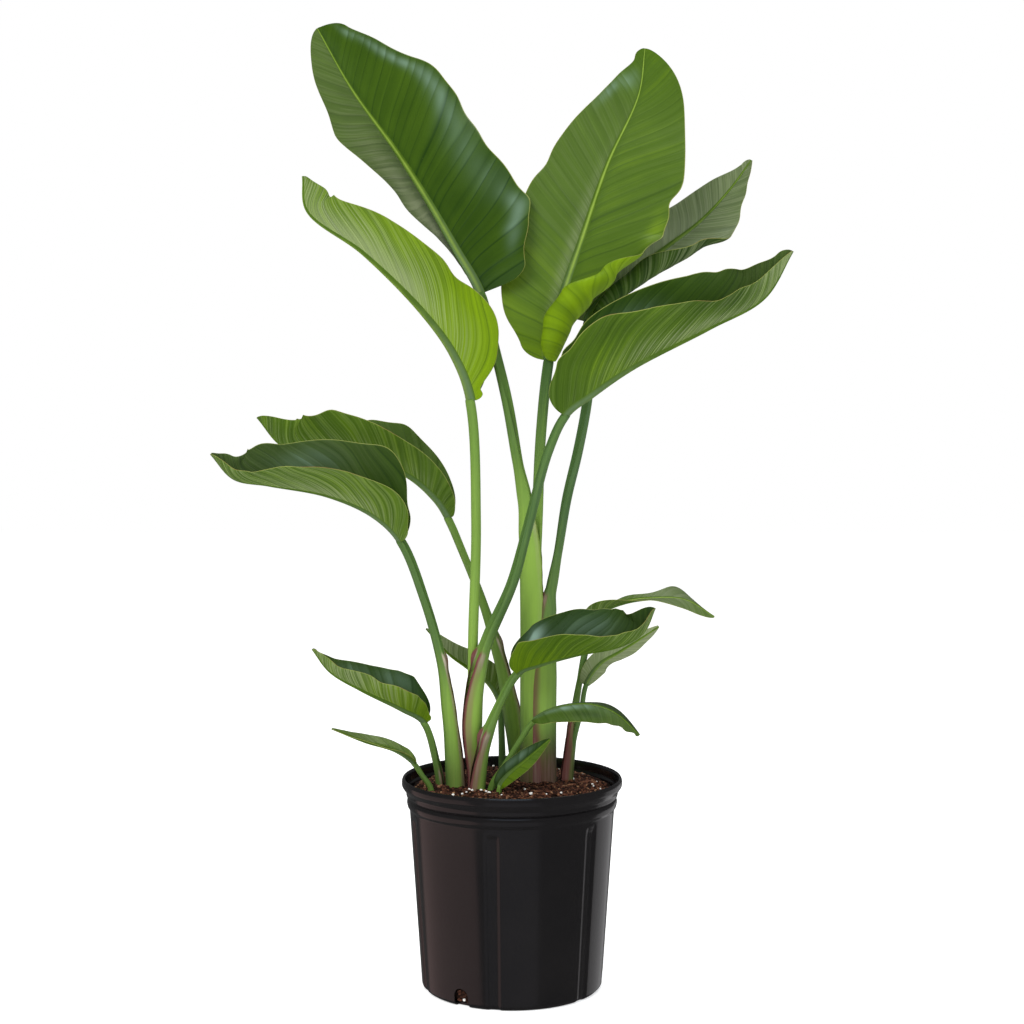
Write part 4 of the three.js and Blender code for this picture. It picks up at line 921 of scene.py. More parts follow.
def stalk_material():
    """Waxy green skin with fine streaks along it, going to dry, coloured sheath margins."""
    material, tree, shader = new_material("stalk_skin", roughness=0.42, specular_ior_level=0.18)
    streaks = stretched(tree, flow_map(tree), 1, 0.028, 1)
    cloud = noise(tree, object_place(tree), 26, 4)
    mauve, dry = stored(tree, "mauve"), stored(tree, "dry")
    fine = noise(tree, streaks, 1500, 3)
    uneven = scaled(tree, noise(tree, streaks, 330, 3), 0.45, scaled(tree, fine, 0.25, -0.35))
    pale = maths(tree, "ADD", stored(tree, "pale"), uneven)
    waxed = scaled(tree, stored(tree, "bloom"), ranged(tree, cloud, 0.25, 0.75, 0.45, 1.0))
    reddened = ranged(tree, scaled(tree, uneven, 1.1, mauve), 0.02, 1.0)
    reddened = scaled(tree, reddened, ranged(tree, mauve, 0.0, 0.2))
    withered = ranged(tree, scaled(tree, uneven, 1.2, dry), 0.05, 1.0)
    withered = scaled(tree, withered, ranged(tree, dry, 0.0, 0.25))
    colour = blend(tree, pale, STALK_GREEN, STALK_YELLOW)
    for share, over in ((waxed, STALK_BLOOM), (reddened, SHEATH_MAUVE), (withered, SHEATH_DRY)):
        colour = blend(tree, share, colour, over)
    rough = scaled(tree, withered, 0.3, scaled(tree, cloud, 0.12, 0.36))
    dress(tree, shader, colour, rough, uneven, strength=0.5, distance=0.0006)
    return material


def build_stalk(line, material):
    leaf = line.leaf
    sheath = leaf.get("sheath")
    steps = int(round(line.joint / STALK_STEP))
    distance = np.linspace(0, line.joint + STALK_OVERLAP, steps + 1)
    centre, ahead, face, side = line.frame(distance)
    radius = line.radius(distance)
    radius[-1] *= STALK_TIP
    height = centre[:, 2]
    below = np.zeros_like(distance)
    if sheath:
        # The sheath's mouth faces the stalk inside it, and the blade turns back to its own way above
        turned = np.array([*sheath["mouth"], 0.0])
        top = np.interp(sheath["top"], height, distance)
        back = smooth((distance - top) / max(line.joint - top, 40))[:, None]
        face = mix(unit(turned - ahead * dot(turned, ahead)), face, back)
        face = unit(face - ahead * dot(face, ahead))
        side = np.cross(ahead, face)
        below = np.clip((top - distance) / SHEATH_OPENS, 0, 1)
    opened = smooth(below)
    half = np.radians(mix(PETIOLE_HALF, sheath["open"] if sheath else PETIOLE_HALF, opened ** 0.7))
    radius, below, opened, half = (values[:, None] for values in (radius, below, opened, half))
    hollow = smooth(below * 1.6)

    # The outer skin, whose margins flare unevenly and swell to a lip under the mouth
    turn = np.linspace(-1, 1, STALK_ARC)[None, :] * half
    edge = np.abs(turn) / half
    ragged = value_noise(distance[:, None] / 9 + 40 * (turn > 0), 0 * turn, len(leaf["name"])) - 0.5
    flare = opened * edge**10 * (0.7 + 1.0 * ragged)
    shoulder = smooth(1 - np.abs(below - LIP_BELOW) / LIP_REACH) * smooth((edge - 0.55) / 0.45)
    flare = flare + (sheath["lip"] if sheath else 0) * shoulder

    def placed(toward, sideways):
        return centre[:, None] + face[:, None] * toward[..., None] + side[:, None] * sideways[..., None]

    outer = placed(-(radius + flare) * np.cos(turn), (radius + flare) * np.sin(turn))

    # The inner skin: a groove in the petiole, going over into the hollow of the sheath
    share = np.linspace(1, -1, STALK_INSIDE)[None, :]
    wall = np.minimum(mix(SHEATH_WALL, SHEATH_THIN, np.abs(share) ** 1.5), radius * 0.5)
    shell_radius = radius - wall + opened * np.abs(share) ** 10 * 0.7
    shell_turn = share * half * 0.985
    flat_back = -radius * np.cos(half) - PETIOLE_GROOVE * radius * (1 - share**2)
    flat_side = radius * np.sin(half) * share * 0.98
    toward = mix(flat_back, -shell_radius * np.cos(shell_turn), hollow)
    sideways = mix(flat_side, shell_radius * np.sin(shell_turn), hollow)

    points = np.concatenate([outer, placed(toward, sideways)], axis=1)
    rows, columns = points.shape[:2]
    faces = grid_faces(rows, columns, closed=True)
    faces.append(tuple(reversed(range(columns))))
    faces.append(tuple(range((rows - 1) * columns, rows * columns)))
    stalk = mesh_object("stalk_" + leaf["name"], points.reshape(-1, 3), faces)
    face_out(stalk)

    tone = along(leaf["skin"], (height - SOIL_TOP) / (height[-1] - SOIL_TOP))[:, None]
    margin = np.concatenate([edge, np.abs(share) + 0 * hollow], axis=1)
    sheathed = opened + 0 * margin
    inside = np.concatenate([0 * edge, 1 + 0 * share * hollow], axis=1)
    mauve = dry = foot = 0 * margin
    if sheath:
        strip = 1 - (1 - margin) / sheath["strip"]
        rim = smooth((strip - 0.70) / 0.2)
        band = smooth(strip / 0.45)
        near_top = smooth(1 - np.abs(below - 0.10) / 0.3)
        held = smooth(below * 9)
        # Near the soil the foot turns darker and mauve: painted shade at the crowded stalk bases, over
        # brown-mauve staining
        foot = sheath["darkening"] * smooth((FOOT_TOP - height) / FOOT_REACH)[:, None]
        mauve = sheath["mauve"] * held * (0.45 * band + 0.55 * rim) + foot * (0.5 + 0.4 * margin)
        dry = sheath["dry"] * held * band * (0.45 + 0.75 * near_top) * (1 - 0.7 * rim) + 0.25 * foot
    pale = tone + sheathed * (0.55 * smooth(margin / 0.75) - 0.2) - 0.6 * foot
    bloom = leaf["powder"] * (1 - 0.55 * sheathed) * (1 - 0.5 * inside)
    pale, dry = pale + 0 * margin, dry + 0 * margin
    paint_values(stalk, {"pale": pale, "bloom": bloom, "mauve": mauve, "dry": dry})
    around = np.concatenate([turn * radius, shell_turn * radius], axis=1)
    paint_flow(stalk, around, distance[:, None] + 0 * around)
    stalk.data.shade_smooth()
    stalk.data.materials.append(material)
    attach(stalk, "root")
    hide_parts(f"leaf_{leaf['name']}_stalk")


# Blades
# A blade is a thin leathery sheet, glossy above and duller and paler below. Close side veins run
# out from the midrib and forward to the margin, and press it into shallow pleats; the midrib is a
# pale groove above and a keel below, and a fine yellow-brown line edges the whole blade.
BLADE_THICK = 0.9
BLADE_EDGE = 0.55
EDGE_ROOM = 0.6
RIB_TIP = 0.9
RIB_POINTS = 7
VEIN_SWEEP = (0.02, 0.55, 0.80, 1.15)
VEIN_START = 0.5
VEIN_BEND = 12.0
PLEAT_PITCH = 17.0
PLEAT_DEPTH = 0.6
PLEAT_UNEVEN = 27.0
FRILL_PITCH = 34.0
FRILL_HEIGHT = 5.0
FULL_HALF = 60.0
BLADE_OVERLAP = 1.0
BLADE_STEP = 1.7
BLADE_COLUMN = 2.6
EDGE_ROUND = 0.25
GREEN_DARK = (0.0120, 0.0340, 0.0030, 1)
GREEN_MID = (0.0550, 0.1080, 0.0060, 1)
GREEN_BRIGHT = (0.1650, 0.2700, 0.0040, 1)
WAX_GREY = (0.3000, 0.3300, 0.2000, 1)
# The colour of painted sheen, a painted reflection of the pale studio on the glossy upper faces
PAINTED_SHEEN_BLUE = (0.2000, 0.3000, 0.2400, 1)
RIB_GREEN = (0.2600, 0.3700, 0.0550, 1)
MARGIN_PALE = (0.2200, 0.2500, 0.0600, 1)
MARGIN_BROWN = (0.1800, 0.1050, 0.0350, 1)
# The two faces: veins drawn by their fine lines, pitch and seed, what lines and bands do to the tone,
# how dark the painted crease shade is, the tone beside the rib, how lines and pleats streak the wax,
# and the finish
BLADE_FACES = {
    "leaf_upper_face": {
        "Fine": 430, "Pitch": 0.0150, "Seed": 1.7, "lines": 0.03, "bands": 0.06, "painted_crease_shade": -0.34,
        "rib": -0.07, "wax": (0.3, 0.35, 0.5), "specular": 0.10, "dull": 0.34, "bump": 0.0013,
    },
    "leaf_underside": {
        "Fine": 400, "Pitch": 0.0078, "Seed": 3.1, "lines": 0.09, "bands": 0.17, "painted_crease_shade": -0.16,
        "rib": 0.04, "wax": (0.5, 0.75, 0.05), "specular": 0.05, "dull": 0.50, "bump": 0.0010,
    },
}
VEIN_SIZES = ("Fine", "Pitch", "Seed")
VEIN_VALUES = ("Lines", "Bands", "Pleats", "Painted Crease Shade", "Height")
UPPER, UNDER, RIB, MARGIN = range(4)


def vein_group():
    """The side veins, drawn from the flow map: fine lines, bands, stepped pleats, a thin line past each
    step for painted crease shade, and a height for bump.
    """
    tree = bpy.data.node_groups.new("side_veins", "ShaderNodeTree")
    for name in VEIN_SIZES:
        tree.interface.new_socket(name, in_out="INPUT", socket_type="NodeSocketFloat")
    for name in VEIN_VALUES:
        tree.interface.new_socket(name, in_out="OUTPUT", socket_type="NodeSocketFloat")
    given = node(tree, "NodeGroupInput").outputs
    result = node(tree, "NodeGroupOutput")
    flow = node(tree, "ShaderNodeSeparateXYZ", {0: flow_map(tree)}).outputs

    def drawn(scale, drift, detail):
        x, y = scaled(tree, flow["Y"], scale), scaled(tree, flow["X"], drift)
        at = node(tree, "ShaderNodeCombineXYZ", {"X": x, "Y": y, "Z": given["Seed"]})
        return noise(tree, at.outputs[0], 1, detail)

    lines = ranged(tree, drawn(given["Fine"], 7.0, 2), 0.38, 0.66)
    phase = scaled(tree, drawn(34.0, 3.0, 1), 2.2, maths(tree, "DIVIDE", flow["Y"], given["Pitch"]))
    phase = scaled(tree, given["Seed"], 7.0, phase)
    band = maths(tree, "FLOOR", phase)
    step = maths(tree, "FRACT", phase)
    chance = node(tree, "ShaderNodeTexWhiteNoise", {"W": band}, noise_dimensions="1D").outputs["Value"]
    depth = scaled(tree, chance, 0.75, 0.25)
    rise = ranged(tree, step, 0.0, 0.22)
    pleats = scaled(tree, scaled(tree, rise, maths(tree, "SUBTRACT", 1.0, step)), depth)
    beside = maths(tree, "ABSOLUTE", maths(tree, "SUBTRACT", step, 0.06))
    bands = ranged(tree, drawn(95.0, 2.0, 1), 0.36, 0.66)
    # A thin line just past each step, where painted shade darkens the crease
    painted_crease_shade = scaled(tree, ranged(tree, beside, 0.0, 0.09, 1.0, 0.0), depth)
    height = scaled(tree, lines, 0.10, pleats)
    for name, value in zip(VEIN_VALUES, (lines, bands, pleats, painted_crease_shade, height)):
        tree.links.new(value, result.inputs[name])
    return tree


def blade_material(name, veins):
    """Leaf skin: one green from the tone value, streaked by the veins and greyed by the wax, with painted
    light: lighter pleat rises, painted crease shade and painted sheen.
    """
    look = BLADE_FACES[name]
    material, tree, shader = new_material(name, specular_ior_level=look["specular"])
    drawn = node(tree, "ShaderNodeGroup", node_tree=veins)
    for key in VEIN_SIZES:
        drawn.inputs[key].default_value = look[key]
    lines, bands, pleats, painted_crease_shade, height = (drawn.outputs[key] for key in VEIN_VALUES)
    wax, across = stored(tree, "wax"), stored(tree, "across")
    place = object_place(tree)
    cloud = noise(tree, place, 15, 4)

    tone = scaled(tree, lines, look["lines"], stored(tree, "tone"))
    # Painted light: each pleat is lighter on its rise
    tone = scaled(tree, pleats, 0.10, tone)
    tone = scaled(tree, maths(tree, "SUBTRACT", bands, 0.5), look["bands"], tone)
    # Painted shade in each crease: a little on every leaf, and more as the leaf's crease value grows
    pressed = scaled(tree, stored(tree, "crease_shade"), look["painted_crease_shade"], -0.06)
    tone = maths(tree, "ADD", tone, scaled(tree, painted_crease_shade, pressed))
    tone = scaled(tree, cloud, 0.24, maths(tree, "SUBTRACT", tone, 0.17))
    tone = scaled(tree, ranged(tree, across, 0.0, 0.10, 1.0, 0.0), look["rib"], tone)
    ramp = node(tree, "ShaderNodeValToRGB", {"Fac": tone})
    ramp.color_ramp.elements[0].color = GREEN_DARK
    ramp.color_ramp.elements[1].color = GREEN_BRIGHT
    ramp.color_ramp.elements.new(0.5).color = GREEN_MID

    # Thick wax lies evenly, thin wax is rubbed off the pleats and between the lines
    by_pleats, by_lines, least = look["wax"]
    streaked = scaled(tree, ranged(tree, lines, 0.30, 0.85), by_lines, least)
    streaked = scaled(tree, pleats, by_pleats, streaked)
    even = ranged(tree, wax, 0.30, 0.80, 0.0, 0.70)
    waxed = scaled(tree, wax, node(tree, "ShaderNodeMix", {0: even, 2: streaked, 3: 0.72}).outputs[0])
    # Painted sheen: a painted reflection in soft patches, strongest on the pleats' rises
    painted_sheen_share = scaled(tree, stored(tree, "painted_sheen"), scaled(tree, pleats, 1.1, 0.45))
    flecks = scaled(tree, ranged(tree, noise(tree, place, 210, 3), 0.76, 0.82), 0.35)
    margin = ranged(tree, across, 0.988, 0.999)
    layers = [(waxed, WAX_GREY), (painted_sheen_share, PAINTED_SHEEN_BLUE), (flecks, RIB_GREEN), (margin, MARGIN_PALE)]
    colour = ramp.outputs["Color"]
    for share, over in layers:
        colour = blend(tree, share, colour, over)

    dull = scaled(tree, stored(tree, "gloss"), -0.12, look["dull"])
    rough = scaled(tree, cloud, 0.12, scaled(tree, waxed, 0.15, dull))
    dress(tree, shader, colour, rough, height, strength=0.5, distance=look["bump"])
    return material


def margin_material():
    """The thin hard edge of a blade: pale yellow green, brown in places."""
    material, tree, shader = new_material("leaf_margin", roughness=0.5, specular_ior_level=0.2)
    share = ranged(tree, noise(tree, object_place(tree), 24, 4), 0.50, 0.68)
    dress(tree, shader, blend(tree, share, MARGIN_PALE, MARGIN_BROWN))
    return material


def rib_material():
    """The midrib: smooth pale green, greener at its sides and toward the stalk."""
    material, tree, shader = new_material("midrib", roughness=0.40, specular_ior_level=0.15)
    streaks = noise(tree, stretched(tree, flow_map(tree), 1, 0.03, 1), 1300, 3)
    share = scaled(tree, maths(tree, "SUBTRACT", streaks, 0.5), 0.5, stored(tree, "pale"))
    colour = blend(tree, stored(tree, "bloom"), blend(tree, share, GREEN_MID, RIB_GREEN), STALK_BLOOM)
    dress(tree, shader, colour, height=streaks, strength=0.3, distance=0.0004)
    return material


def outline(t, peak, blunt):
    """How wide a half blade is at t, as a share of its greatest width."""
    swell = np.maximum(np.sin(np.pi * np.clip(t, 0, 1) ** (math.log(0.5) / math.log(peak))), 0)
    return swell ** np.where(t < peak, blunt[0], blunt[1])


def half_blade(leaf, half, t, columns, seed):
    """One half of the blade as walks out from the rib: how far out and up, its tilt and its flow."""

    def here(key, usual=None):
        return halves(leaf.get(key, usual), t)[:, half, None]

    fold, curl, late = np.radians(here("fold")), np.radians(here("curl", 0)), here("late", 1)
    width = leaf["half"][half] * outline(t, leaf["peak"][half], leaf["blunt"][half])
    inside = smooth(np.minimum(t, 1 - t) / 0.04)
    for side, place, reach, size in leaf.get("edge", ()):
        if side == half:
            width = width + size * np.exp(-(((t - place) / reach) ** 2)) * inside
    width = (np.maximum(width, 0) + EDGE_ROOM)[:, None]
    step = np.arange(1, columns + 1)[None, :] / columns
    middle = fold + curl * (step - 0.5 / columns) ** late
    start = np.zeros((len(t), 1))
    out = np.hstack([start, np.cumsum(np.cos(middle), axis=1) * width / columns])
    up = np.hstack([start, np.cumsum(np.sin(middle), axis=1) * width / columns])
    q = np.hstack([start, np.repeat(step, len(t), 0)])
    tilt = fold + curl * q**late

    # The ripple of the margin, by the leaf's own wave
    height, waves, phase = leaf["wave"]
    swing = np.sin(2 * np.pi * waves * t + phase + 2 * half)
    ripple = height * swing * np.sqrt(np.sin(np.pi * np.clip(t, 0, 1)).clip(0))
    lift = ripple[:, None] * q**2 * width

    # The side veins' way, and a pleat between each two of them, finer on a small leaf
    t = t[:, None]
    reach = q * width
    size = min(1.0, leaf["half"][half] / FULL_HALF)
    bend = VEIN_BEND * size
    sweep = along(leaf.get("sweep", VEIN_SWEEP), t[:, 0])[:, None]
    flow = t * leaf["length"] - sweep * reach - VEIN_START * bend * (1 - np.exp(-reach / bend))
    place = flow / (PLEAT_PITCH * (0.4 + 0.6 * size))
    place = place + 0.8 * value_noise(flow / PLEAT_UNEVEN, q * 0 + 0.5, seed)
    band = np.floor(place)
    step = place - band
    chance = value_noise(band * 1.37 + 0.5, q * 0 + 0.5, seed + 2)
    pleat = (0.35 + 0.9 * chance) * (smooth(step / 0.3) * (1 - step) - 0.35)
    fade = smooth(reach / 14) * smooth((1.06 - q) / 0.22) * smooth(t / 0.05) * smooth((1 - t) / 0.08)
    lift += PLEAT_DEPTH * size * pleat * fade
    frill = value_noise(t * leaf["length"] / FRILL_PITCH + 9 * half, q * 0, seed + 5) - 0.5
    lift += FRILL_HEIGHT * size * frill * q**6 * smooth(t / 0.1) * smooth((1 - t) / 0.1)
    return out - lift * np.sin(tilt), up + lift * np.cos(tilt), tilt, q, flow


def marked(leaf, kind, half, t, q):
    """The soft spots of one kind on a half blade: each at a place along and across it."""
    total = 0 * q
    for what, side, place, out, reach, wide, amount in leaf.get("marks", ()):
        if what == kind and side in (half, "both"):
            off = -(((t[:, None] - place) / reach) ** 2) - ((q - out) / wide) ** 2
            total = total + amount * np.exp(off)
    return total


def build_blade(line, materials, seed):
    leaf = line.leaf
    start = line.joint - BLADE_OVERLAP
    leaf["length"] = line.length - line.joint
    rows = int(round(leaf["length"] / BLADE_STEP)) + 12
    even = np.linspace(0, 1, rows)
    t = mix(even, (1 - np.cos(np.pi * even)) / 2, 0.75)
    centre, ahead, face, side = line.frame(start + (line.length - start) * t)
    rib = ((leaf["stalk"][-1][3] * 0.95 - RIB_TIP) * (1 - t) ** 1.1 + RIB_TIP)[:, None]
    depth = np.maximum(1.8 * rib, 1.0)
    top = depth / 2
    columns = int(np.clip(max(leaf["half"]) / BLADE_COLUMN, 10, 38))

    # Each half as a sheet with a thickness and a rounded margin
    upper, under, flows, crosses = [], [], [], []
    for half, way in ((0, -1), (1, 1)):
        out, up, tilt, q, flow = half_blade(leaf, half, t, columns, seed + half)
        thick = mix(BLADE_THICK, BLADE_EDGE, q**2)
        above = way * (rib + out), top + up
        below = way * (rib + out + thick * np.sin(tilt)), top + up - thick * np.cos(tilt)
        middle = [(a[:, -1:] + b[:, -1:]) / 2 for a, b in zip(above, below)]
        middle[0] = middle[0] + way * EDGE_ROUND * np.cos(tilt[:, -1:])
        middle[1] = middle[1] + EDGE_ROUND * np.sin(tilt[:, -1:])
        upper.append([np.hstack([a, m]) for a, m in zip(above, middle)])
        under.append(below)
        flows.append(np.hstack([flow, flow[:, -1:]]))
        crosses.append(np.hstack([q, q[:, -1:]]))

    # The groove on the rib's upper side and the keel under it, from left to right
    way = np.linspace(-1, 1, RIB_POINTS + 2)[None, 1:-1]
    groove = way * rib, top - 0.42 * rib * (1 - way**2) ** 1.2
    turn = way * np.pi / 2
    keel = np.sin(turn) * rib, top - depth + (1 - np.cos(turn)) * (depth - BLADE_THICK) * 0.96
    grids = []
    for (left, right), between in ((upper, groove), (under, keel)):
        out, up = (np.hstack([left[k][:, ::-1], between[k], right[k]]) for k in (0, 1))
        grids.append(centre[:, None] + side[:, None] * out[..., None] + face[:, None] * up[..., None])
    wide, narrow = (grid.shape[1] for grid in grids)
    first = rows * wide

    # The upper face, the under face, the margins and the two ends, with the material of each face
    rib_cells = range(columns + 1, columns + 2 + RIB_POINTS)
    faces = grid_faces(rows, wide) + grid_faces(rows, narrow, start=first, flip=True)
    kinds = (rows - 1) * [
        RIB if j in rib_cells else MARGIN if j in (0, wide - 2) else UPPER for j in range(wide - 1)
    ]
    kinds += (rows - 1) * [RIB if j + 1 in rib_cells else UNDER for j in range(narrow - 1)]
    for i in range(rows - 1):
        a, b = i * wide, (i + 1) * wide
        c, d = first + i * narrow, first + (i + 1) * narrow
        faces.append((a, b, d, c))
        faces.append((a + wide - 1, c + narrow - 1, d + narrow - 1, b + wide - 1))
        kinds += [MARGIN, MARGIN]
    for i, way in ((0, -1), (rows - 1, 1)):
        a, c = i * wide, first + i * narrow
        faces.append(tuple([*range(a, a + wide), *reversed(range(c, c + narrow))][::way]))
        kinds.append(UNDER)

    points = np.concatenate([grid.reshape(-1, 3) for grid in grids])
    blade = mesh_object("blade_" + leaf["name"], points, faces)
    for material in materials:
        blade.data.materials.append(material)
    blade.data.polygons.foreach_set("material_index", kinds)
    face_out(blade)

    def spread(left, right, middle, upper_face):
        """Values over one face, from the two halves and the rib; the under face has no margin row."""
        cut = slice(None) if upper_face else slice(None, -1)
        rib_part = np.repeat(middle[:, None], RIB_POINTS, 1)
        return np.hstack([left[:, cut][:, ::-1], rib_part, right[:, cut]]).ravel()

    def over_both(left, right, middle):
        return np.concatenate([spread(left, right, middle, upper_face) for upper_face in (True, False)])

    def over_rib(values, under_share=1.0):
        """Values on the rib alone, weaker under it."""
        parts = []
        for n, share in ((wide, 1.0), (narrow, under_share)):
            blank = np.zeros((rows, (n - RIB_POINTS) // 2))
            parts.append(np.hstack([blank, values, blank]).ravel() * share)
        return np.concatenate(parts)

    values = {"across": over_both(*crosses, 0 * t)}
    tones = {"tone": ("upper", "under"), "wax": ("wax", "bloom"), "painted_sheen": ("painted_sheen", None)}
    for name, keys in tones.items():
        parts = []
        for key, upper_face in zip(keys, (True, False)):
            pair = halves(leaf.get(key, 0), t)
            spotted = [pair[:, k, None] + marked(leaf, key, k, t, crosses[k]) for k in (0, 1)]
            parts.append(spread(*spotted, pair.mean(1), upper_face))
        values[name] = np.concatenate(parts)
    crease_shade = halves(leaf.get("crease_shade", 0.3), t)
    bar = np.abs(np.linspace(-1, 1, RIB_POINTS))[None, :] + 0 * t[:, None]
    near_stalk = 0.55 * (1 - smooth(t / 0.5))[:, None]
    values["crease_shade"] = over_both(*(crease_shade[:, k, None] + 0 * crosses[k] for k in (0, 1)), 0 * t)
    values["gloss"] = np.full(len(values["across"]), leaf["gloss"])
    values["pale"] = over_rib(leaf.get("rib_pale", 1.0) * np.clip(1.1 - 1.3 * bar, 0, 1), 0.75)
    values["bloom"] = over_rib(near_stalk * (0.35 + 0.65 * bar))
    paint_values(blade, values)
    left, right = leaf["half"]
    across = over_both(-crosses[0] * left, crosses[1] * right, 0 * t)
    paint_flow(blade, across, over_both(*flows, t * leaf["length"]))
    blade.data.shade_smooth()
    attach(blade, "root")
    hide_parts(f"leaf_{leaf['name']}_blade")


lines = [LeafLine(leaf) for leaf in LEAVES]
skin = stalk_material()
veins = vein_group()
finishes = [blade_material(name, veins) for name in BLADE_FACES] + [rib_material(), margin_material()]
for number, line in enumerate(lines):
    build_stalk(line, skin)
    build_blade(line, finishes, seed=10 * number + 1)

# Soil
# Potting mix of shredded bark and coir, dark red brown and loose, filled to just under the lip and
# heaped a little behind. It is one body in the pot, strewn with crumbs, chips and white perlite,
# and it shows again behind the drain notches.
SOIL_HEAP = 5
SOIL_RINGS = 54
SOIL_TURNS = 200
SOIL_SIDE = [215, 205, 190, 160, 120, 80] + [46 - 2.5 * k for k in range(17)]
SOIL_DARK = (0.009, 0.0040, 0.0026, 1)
SOIL_BROWN = (0.050, 0.0190, 0.0115, 1)
SOIL_RED = (0.135, 0.049, 0.027, 1)
SOIL_TAN = (0.420, 0.235, 0.120, 1)
PERLITE_WHITE = (0.88, 0.86, 0.82, 1)
SOIL_PROFILE = [(0, 238), (50, 237), (92, 236), (112, 234), (121.4, 231)]
# The clods of the surface, each kind with its height, its width and its seed
SOIL_CLODS = [(3.4, 5, 1), (2.6, 2.2, 2)]
CRUMBS = dict(Density=125000.0, Smallest=0.8 * MM, Largest=2.3 * MM, Length=1.3, Flat=0.75, Seed=3)
SHREDS = dict(Density=16000.0, Smallest=0.6 * MM, Largest=1.3 * MM, Length=4.0, Flat=0.6, Seed=8)
SOIL_ROOM = 1.5
RIM_ROOM = 5.5
NOTCH_ROOM = math.radians(4)
NOTCH_ROOM_TOP = 19
# Beads of perlite that show at the front, each with its place and its radius; more behind, strewn
# at random; one in a drain notch; and the larger chips
BEADS = [
    (-68.5, -42, 1.7), (-58, -37, 1.4), (-50, -25, 1.5), (-46.5, -31, 1.3), (-53, -34, 1.0),
    (-36, -29, 1.3), (-30, -36, 1.2), (-26.5, -43, 1.8), (15, -20, 1.2), (22, -38, 1.8),
    (57, -42, 1.3), (73, 34, 1.3), (95, 2, 1.1), (104, -12, 0.9), (-12, -44, 0.8), (40, -44, 0.8),
]
HIDDEN_BEADS = 14
HIDDEN_REACH = 112
BEAD_RISE = 2.2
HIDDEN_RISE = 1.4
CHIP_RISE = 1.6
NOTCH_BEAD = (-54.6, -87.0, 8, 1.7)
CHIPS = [
    (91, 24, 10, 3.6, 2.4, 8), (70, 8, 6, 2, 1.4, 40), (-8, 62, 8, 3, 2, 70), (30, -30, 5, 1.8, 1.2, -20),
]


def soil_height(x, y):
    """The soil's surface over a place in the pot, as in the part's source, before its crumbs."""
    radius = np.hypot(x, y)
    level = np.interp(radius, *zip(*SOIL_PROFILE))
    bumps = 1.2 * np.sin(x / 13 + 1) * np.cos(y / 11) + 0.8 * np.sin((x + y) / 7)
    return level + bumps + SOIL_HEAP * y / RIM_RADIUS


def soil_material():
    """Moist bark fibre: a dark ground with redder and paler crumbs, dull all over."""
    material, tree, shader = new_material("potting_soil", roughness=0.9, specular_ior_level=0.25)
    place = object_place(tree)
    fine = noise(tree, place, 900, 4)
    mixed = scaled(tree, noise(tree, place, 110, 5), 0.5, scaled(tree, fine, 0.5, -0.42))
    ramp = node(tree, "ShaderNodeValToRGB", {"Fac": scaled(tree, stored(tree, "shade"), 0.85, mixed)})
    ramp.color_ramp.elements[0].color = SOIL_DARK
    ramp.color_ramp.elements[1].color = SOIL_TAN
    ramp.color_ramp.elements.new(0.42).color = SOIL_BROWN
    ramp.color_ramp.elements.new(0.80).color = SOIL_RED
    dress(tree, shader, ramp.outputs["Color"], height=fine, strength=0.8, distance=0.0012)
    return material


def perlite_material():
    """Puffed volcanic glass: chalky white, a little stained."""
    material, tree, shader = new_material("perlite", roughness=0.8, specular_ior_level=0.3)
    darkening = ranged(tree, noise(tree, object_place(tree), 700, 3), 0.55, 0.85)
    dress(tree, shader, blend(tree, darkening, PERLITE_WHITE, SOIL_TAN))
    return material


def crumb_tree():
    """Strews lumps where a surface has room, each turned, sized and shaded at random."""
    tree, value, result = new_tree("strewn_crumbs", {
        "Density": "Float", "Smallest": "Float", "Largest": "Float", "Length": "Float", "Flat": "Float",
        "Seed": "Int", "Material": "Material",
    })

    def drawn(seed_step, low, high, first=2, kind="FLOAT", output=1):
        """Random values between two, each draw with its own seed."""
        seed = maths(tree, "ADD", value["Seed"], seed_step)
        sockets = {first: low, first + 1: high, "Seed": seed}
        return node(tree, "FunctionNodeRandomValue", sockets, data_type=kind).outputs[output]

    named = node(tree, "GeometryNodeInputNamedAttribute", {"Name": "room"}, data_type="FLOAT")
    room = named.outputs["Attribute"]
    strewn = node(tree, "GeometryNodeDistributePointsOnFaces", {
        "Mesh": value["Geometry"], "Seed": value["Seed"], "Density": scaled(tree, room, value["Density"]),
    }, distribute_method="RANDOM")
    lump = node(tree, "GeometryNodeMeshIcoSphere", {"Radius": 1.0, "Subdivisions": 1})
    size = drawn(0.0, value["Smallest"], value["Largest"])
    scale = node(tree, "ShaderNodeCombineXYZ", {
        "X": scaled(tree, size, value["Length"]), "Y": size, "Z": scaled(tree, size, value["Flat"]),
    })
    turn = drawn(1.0, (-0.5, -0.5, 0), (0.5, 0.5, 2 * math.pi), first=0, kind="FLOAT_VECTOR", output=0)
    placed = node(tree, "GeometryNodeInstanceOnPoints", {
        "Points": strewn.outputs["Points"], "Instance": lump.outputs[0], "Rotation": turn,
        "Scale": scale.outputs[0],
    })
    shaded = node(tree, "GeometryNodeStoreNamedAttribute", {
        "Geometry": placed.outputs[0], "Name": "shade", "Value": drawn(2.0, 0.0, 1.0),
    }, data_type="FLOAT", domain="INSTANCE")
    return end_tree(tree, shaded.outputs[0], value["Material"], result)


